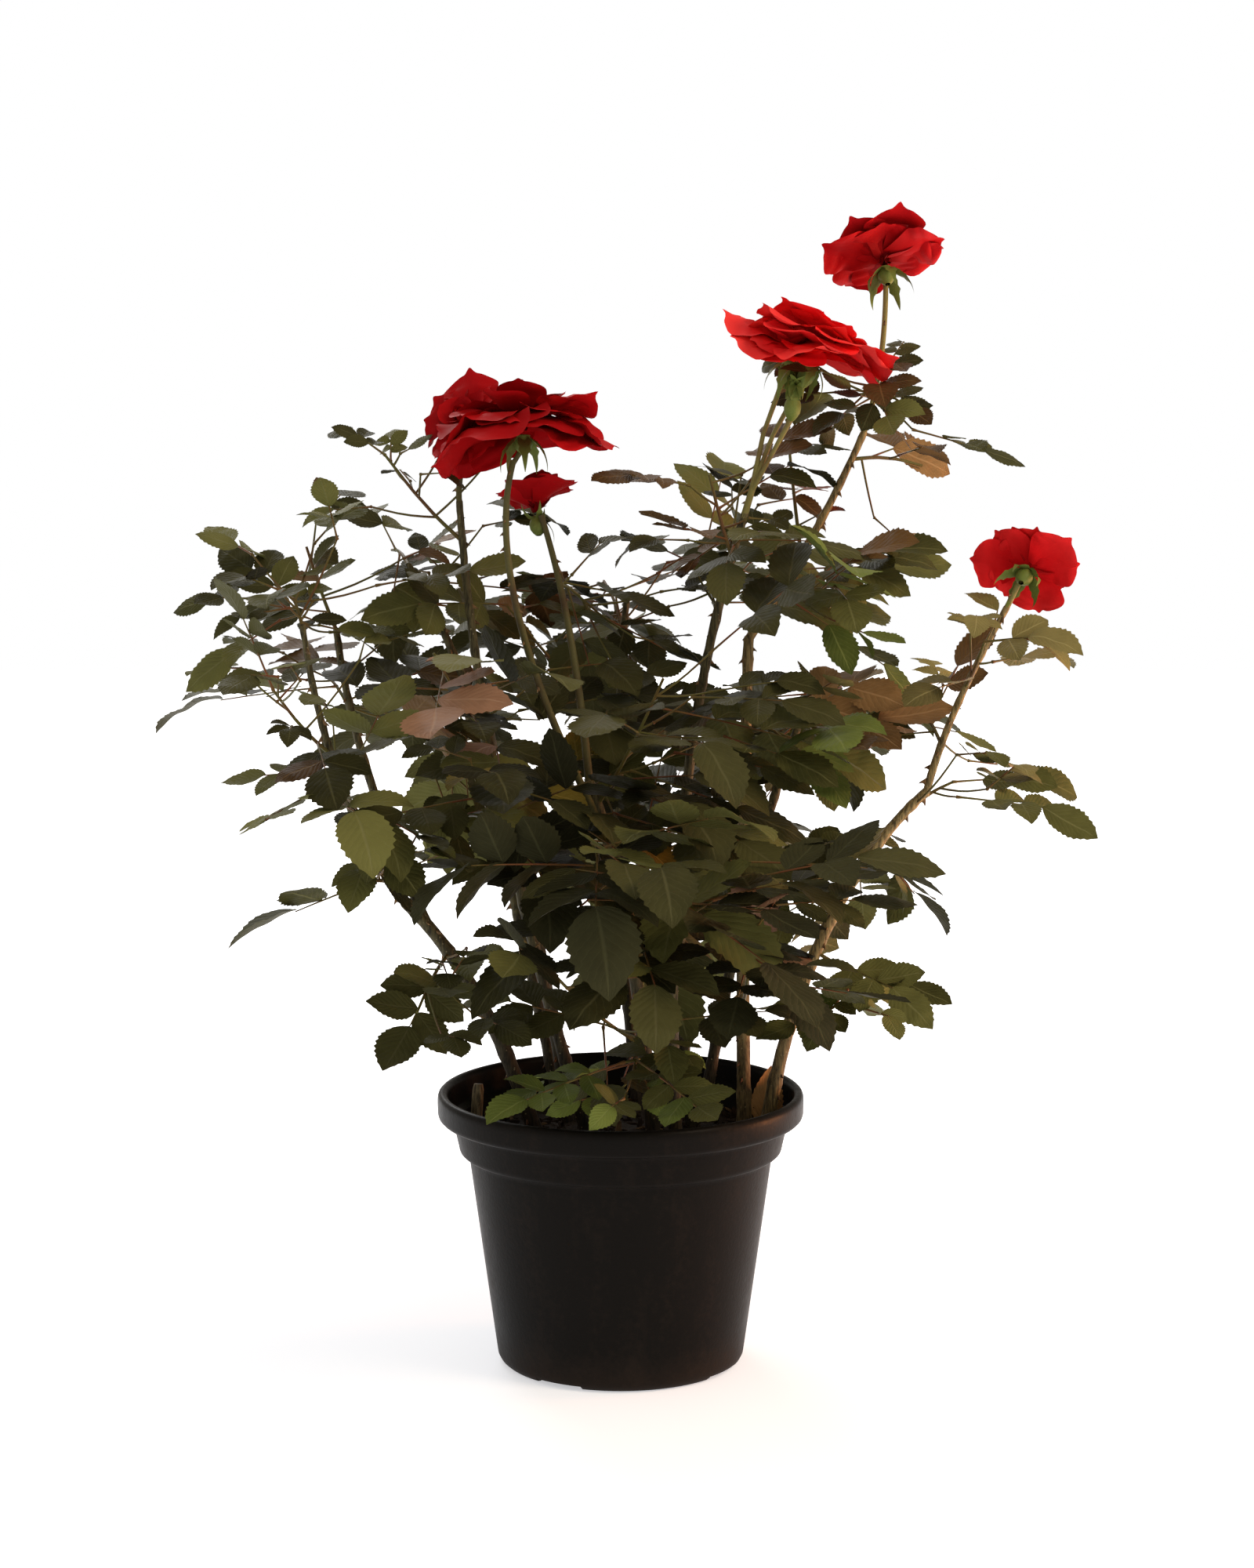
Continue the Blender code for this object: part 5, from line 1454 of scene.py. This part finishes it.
def pot_line():
    """Radius and height from the floor's middle up the inner wall, over the lip and down to the underside."""
    top, floor, wall = POT_HEIGHT, POT_FLOOR, POT_WALL
    base, body, collar, lip = POT_BASE_RADIUS, POT_BODY_TOP_RADIUS, POT_COLLAR_RADIUS, POT_LIP_RADIUS
    inside = [*off(base, floor, (-4, 0)), *off(base - wall, floor, (-0.9, 1), (0.1, 3)),
              *off(body - wall, 0, (-0.1, 137.8)), *off(collar, 0, (-6.2, 144)),
              *off(collar - wall, top, (-0.2, -20.4)), *off(lip, top, (-8.6, -17), (-7.5, -13))]
    rolled = off(lip, top, (-6.9, -4), (-6.1, -1.6), (-4.9, -0.4), (-3.4, 0), (-1.9, -0.4), (-0.7, -1.6),
                 (-0.1, -3.6), (0, -6), (-0.2, -14), (-0.8, -16), (-2.2, -17.4), (-4.6, -18.2))
    outside = [*off(collar, top, (1.5, -18.8), (0.3, -20), (-0.2, -22)),
               *off(collar, 0, (-3.2, 146), (-3.5, 144.2), (-4.1, 142.4), (-5.4, 141.2)),
               *off(body, 0, (1.2, 140.4), (0.2, 139.2), (-0.2, 137)),
               *off(base, 0, (0.3, 9), (-0.2, 5.6), (-1.8, 2.6), (-4, 0.7), (-7, 0))]
    return inside + rolled + outside


POT_SIDES, FIRST_RING, NOTCH_AT = 96, 20 * MM, 75 * MM
deselect()
bpy.ops.mesh.primitive_circle_add(vertices=POT_SIDES, radius=FIRST_RING, fill_type="NGON", location=(0, 0, POT_FLOOR))
pot = settle(bpy.context.object, "pot_moulded")
edit(pot)
bpy.ops.mesh.region_to_loop()
lathe(FIRST_RING, POT_FLOOR, pot_line() + [(FIRST_RING, 0)])
bpy.ops.mesh.edge_face_add()
outward()
for k in range(NOTCHES):
    angle = NOTCH_TURN - math.pi / 2 + k * math.tau / NOTCHES
    deselect()
    bpy.ops.mesh.primitive_cube_add(size=1, location=(math.cos(angle) * NOTCH_AT, math.sin(angle) * NOTCH_AT, 0),
                                    rotation=(0, 0, angle), scale=(30 * MM, NOTCH_WIDTH, 2 * NOTCH_HEIGHT))
    notch = settle(bpy.context.object, "notch")
    apply_modifier(pot, "BOOLEAN", operation="DIFFERENCE", object=notch, solver="EXACT")
    bpy.data.objects.remove(notch)
apply_modifier(pot, "BEVEL", width=0.5 * MM, segments=2, limit_method="ANGLE", angle_limit=math.radians(50))
bpy.ops.object.shade_smooth_by_angle(angle=math.radians(35))
print("pot vertices:", len(pot.data.vertices))


# %% [markdown]
# Blow-moulded polypropylene is black and satin: a faint orange-peel in the wall, light scuffs and
# dried dust that gather on the lip and near the base. That dust is what keeps it from looking like
# black glass.

# %% Pot plastic
def pot_plastic():
    """Black satin plastic with streaks of dust, more of it near the base."""
    material, tree, shader = fresh("nursery_pot_black_polypropylene", IOR=1.49, Specular_IOR_Level=0.05)
    height = parts_of(tree, place_on(tree))["Z"]
    streaks = speckle(tree, 22 * MM, 4, (1, 1, 0.3), 0.6)
    dust = speckle(tree, 5 * MM, 5, (1, 1, 1), 0.7)
    low = remap(tree, height, 0.03, 0.0, 0.0, 0.35)
    share = sums(tree, "ADD", sums(tree, "MULTIPLY", sums(tree, "MULTIPLY", streaks, dust), 0.9), low)
    colour = ramp(tree, share, (0.22, "#12100e"), (0.9, "#2c231d"))
    gloss = remap(tree, share, 0.1, 0.7, 0.33, 0.6)
    coat(tree, shader, colour, speckle(tree, 2.4 * MM, 2), 0.12 * MM, gloss)
    return material


show(pot, pot_plastic(), "pot", slot="pot_plastic")


# %% [markdown]
# ## Soil, crumbs and litter
# Potting mix is peat and bark: near black when damp, lumpy, with crumbs and bits of pale fibre. The
# surface is a disc of rings lifted by two scales of noise; crumbs and a few fallen leaflets lie on it.

# %% The soil's surface
SEED_RING, RING_STEP = 1.5 * MM, 3.4 * MM
rim = POT_COLLAR_RADIUS - POT_WALL - 2.2 * MM
radii = [SEED_RING]
while radii[-1] < rim - MM:
    radii.append(min(rim, radii[-1] + RING_STEP))
deselect()
bpy.ops.mesh.primitive_circle_add(vertices=72, radius=SEED_RING, fill_type="NGON", location=(0, 0, SOIL_TOP))
soil = settle(bpy.context.object, "soil_surface")
edit(soil)
bpy.ops.mesh.region_to_loop()
lathe(SEED_RING, SOIL_TOP, [(radius, SOIL_TOP) for radius in radii[1:]] + [(0.93 * rim, SOIL_TOP - 9 * MM)])
bpy.ops.mesh.edge_face_add()
outward()
lumps = soil.vertex_groups.new(name="top")
lumps.add([v.index for v in soil.data.vertices if v.co.z > SOIL_TOP - MM], 1.0, "REPLACE")
for size, strength in ((26, 7), (7, 3.2), (3, 1.4)):
    roughen(soil, size * MM, strength * MM, direction="Z", vertex_group="top")
soil.vertex_groups.clear()
smooth(soil)


def soil_material(name, dark, light):
    """Damp peat and bark: dark, rough, with paler fibres."""
    material, tree, shader = fresh(name, Specular_IOR_Level=0.25)
    grain = speckle(tree, 2.6 * MM, 6, (1, 1, 1), 0.75)
    patches = speckle(tree, 12 * MM, 3)
    share = sums(tree, "MULTIPLY_ADD", patches, 0.5, sums(tree, "MULTIPLY", grain, 0.7))
    colour = ramp(tree, share, (0.42, dark), (0.82, light))
    coat(tree, shader, colour, grain, 1.6 * MM, remap(tree, grain, 0, 1, 0.75, 1.0))
    return material


show(soil, soil_material("potting_mix_damp_peat", "#0f0b08", "#3a2c20"), "soil", slot="potting_mix")


# %% Crumbs of bark on the soil
def surface_of(thing):
    """The surface as a tree that rays can be cast at."""
    return BVHTree.FromPolygons([v.co.copy() for v in thing.data.vertices],
                                [tuple(face.vertices) for face in thing.data.polygons])


soil_tree = surface_of(soil)


def ground_at(x, y):
    """The point of the soil's surface under a place, or None."""
    return soil_tree.ray_cast(Vector((x, y, SOIL_TOP + 20 * MM)), -UP)[0]


deselect()
bpy.ops.mesh.primitive_ico_sphere_add(subdivisions=1, radius=1)
crumb = settle(bpy.context.object, "crumb")
edit(crumb)
pick(lambda co: co.z > 0.5)
bpy.ops.transform.resize(value=(1.5, 0.6, 0.7), center_override=(0, 0, 0))
pick(lambda co: co.x > 0.4)
bpy.ops.transform.translate(value=(0.5, 0.1, -0.2))
done()
CRUMBS, PALE_SHARE = 620, 0.14
CRUMB_MIX = [soil_material("bark_crumb_dark", "#1a120c", "#3e2d1f"),
             soil_material("bark_crumb_pale", "#4a3a2a", "#8a7052")]
copies = []
dice = random.Random(12)
for k in range(CRUMBS):
    away, turn = (rim - 3 * MM) * math.sqrt(dice.random()), dice.uniform(0, math.tau)
    ground = ground_at(away * math.cos(turn), away * math.sin(turn))
    if ground is None:
        continue
    size = dice.uniform(0.7, 2.6) * MM
    axis = (dice.random(), dice.random(), dice.random() + 0.1)
    spin = Quaternion(axis, dice.uniform(0, math.tau)).to_matrix().to_4x4()
    flat = scaled(size * dice.uniform(1, 2.4), size, size * dice.uniform(0.5, 1))
    skin = CRUMB_MIX[dice.random() < PALE_SHARE]
    copies.append(copied(crumb, Matrix.Translation(ground + UP * 0.2 * size) @ spin @ flat, skin))
bpy.data.objects.remove(crumb)
show(join(copies, "soil_crumbs"), None, slot="potting_mix")


# %% Fallen leaves on the soil: x and y in m, length in mm, tint; the first is propped against the wall
FALLEN_PLACES = ((0.096, 0.016, 42, "tan"), (0.020, -0.088, 26, "rose"), (-0.052, -0.070, 24, "bronze"),
                 (-0.020, -0.097, 20, "tan"), (0.062, -0.072, 24, "bronze"), (-0.078, -0.040, 22, "bronze"),
                 (-0.060, 0.070, 30, "tan"), (0.010, 0.088, 26, "bronze"), (0.050, 0.078, 28, "rose"),
                 (-0.088, 0.034, 22, "bronze"), (0.004, -0.064, 18, "yellow"), (0.088, -0.036, 20, "tan"))
dry = leaflet_form("leaflet_dry", 0.30, 34, 24, 40)
copies = []
for k, (x, y, long, tint) in enumerate(FALLEN_PLACES):
    dice = random.Random(30 + k)
    turn, rise = (math.radians(95), 1.05) if k == 0 else (dice.uniform(0, math.tau), dice.uniform(-0.1, 0.25))
    tilt = Matrix.Rotation(turn, 4, "Z") @ Matrix.Rotation(-rise, 4, "Y")
    place = Matrix.Translation(ground_at(x, y) + UP * 2.5 * MM) @ tilt @ scaled(long * MM, long * MM, long * MM)
    copies.append(copied(dry, place, LEAF[tint], dice.random()))
bpy.data.objects.remove(dry)
show(join(copies, "soil_litter"), None, slot="leaf_brown")


# %% [markdown]
# ## The dead stub
# One old cane was cut off close to the pot's wall. It is grey-tan, dry and split at the top.

# %% The stub of an old cane
foot, top = Vector((-97 * MM, 8 * MM, SOIL_TOP - 12 * MM)), Vector((-94 * MM, 12 * MM, 182 * MM))
shares = [k / 12 for k in range(13)]
stub = tubes("stub_cut_cane", [([foot.lerp(top, t) for t in shares], [(4.3 - 0.7 * t) * MM for t in shares])], 6)
bark_relief(stub, 0.9 * MM, 0.6 * MM)
edit(stub)
pick(lambda co: co.z > 0.1812)
bpy.ops.transform.resize(value=(0.8, 0.8, 1), center_override=top)
done()
show(stub, bark_material("dead_cane_grey_wood", "#6e6048", "#8a7c60", 0.1, 0.1), "dead_stub", slot="dead_wood")


# %% [markdown]
# ## Stage, light and camera
# A white sweep that glows, dim near the pot and white further off, which is painted light; one broad
# soft light above and in front, a warmer one from the right that edges the pot, and a pale world that
# fills the shade.

# %% Stage, lights and camera
deselect()
bpy.ops.mesh.primitive_plane_add(size=6, location=(0, 1.5, -0.0002))
floor = settle(bpy.context.object, "floor")
paper, tree, shader = fresh("paper_sweep_painted_glow", Roughness=0.9, Specular_IOR_Level=0.1, Emission_Strength=1.0)
# The sweep's glow is painted light: grey near the pot, so the pot's shade on it shows, and white from a metre off.
away = add(tree, "ShaderNodeVectorMath", {"operation": "LENGTH"}, {0: place_on(tree)}).outputs["Value"]
far = remap(tree, away, 0.35, 1.1)
tree.links.new(mix(tree, far, "#b9b9bb", "#ffffff"), shader.inputs["Emission Color"])
grain = speckle(tree, 0.4, 1)
tree.links.new(ramp(tree, grain, (0.0, "#e6eaf2"), (1.0, "#eef2fa")), shader.inputs["Base Color"])
floor.data.materials.append(paper)

world = bpy.data.worlds.new("studio")
bpy.context.scene.world = world
world.use_nodes = True
air = world.node_tree
seen = add(air, "ShaderNodeLightPath").outputs["Is Camera Ray"]
strength = remap(air, seen, 0, 1, 0.6, 1.0)
air.links.new(strength, air.nodes["Background"].inputs["Strength"])
air.links.new(mix(air, seen, "#fff7ec", "#ffffff"), air.nodes["Background"].inputs["Color"])
bpy.context.scene.view_settings.view_transform = "Standard"


def soft_light(name, place, aim, size, power, colour):
    """A round soft light, its size in metres and its power in watts, aimed at a point."""
    lamp = bpy.data.lights.new(name, "AREA")
    lamp.shape, lamp.size, lamp.energy, lamp.color = "DISK", size, power, linear(colour)[:3]
    holder = bpy.data.objects.new(name, lamp)
    bpy.context.scene.collection.objects.link(holder)
    holder.location = place
    holder.rotation_euler = (Vector(aim) - Vector(place)).to_track_quat("-Z", "Y").to_euler()
    return holder


soft_light("key", (1.5, -1.0, 1.7), (0.05, 0, 0.45), 0.9, 21, "#ffe6c6")
soft_light("warm_side", (1.25, 0.2, 0.12), (0, 0, 0.16), 0.5, 17, "#ffa468")
soft_light("back", (-0.6, 1.8, 1.5), (0, 0, 0.45), 1.2, 16, "#ffffff")

CAMERA_PITCH = 0.1347       # radians below the level
camera = bpy.data.objects.new("camera", bpy.data.cameras.new("camera"))
bpy.context.scene.collection.objects.link(camera)
camera.location = (0.0042, -2.2, 0.6818)
camera.rotation_euler = (math.pi / 2 - CAMERA_PITCH, 0, 0)
camera.data.lens, camera.data.sensor_width, camera.data.sensor_fit = 78.48, 36, "AUTO"
bpy.context.scene.camera = camera
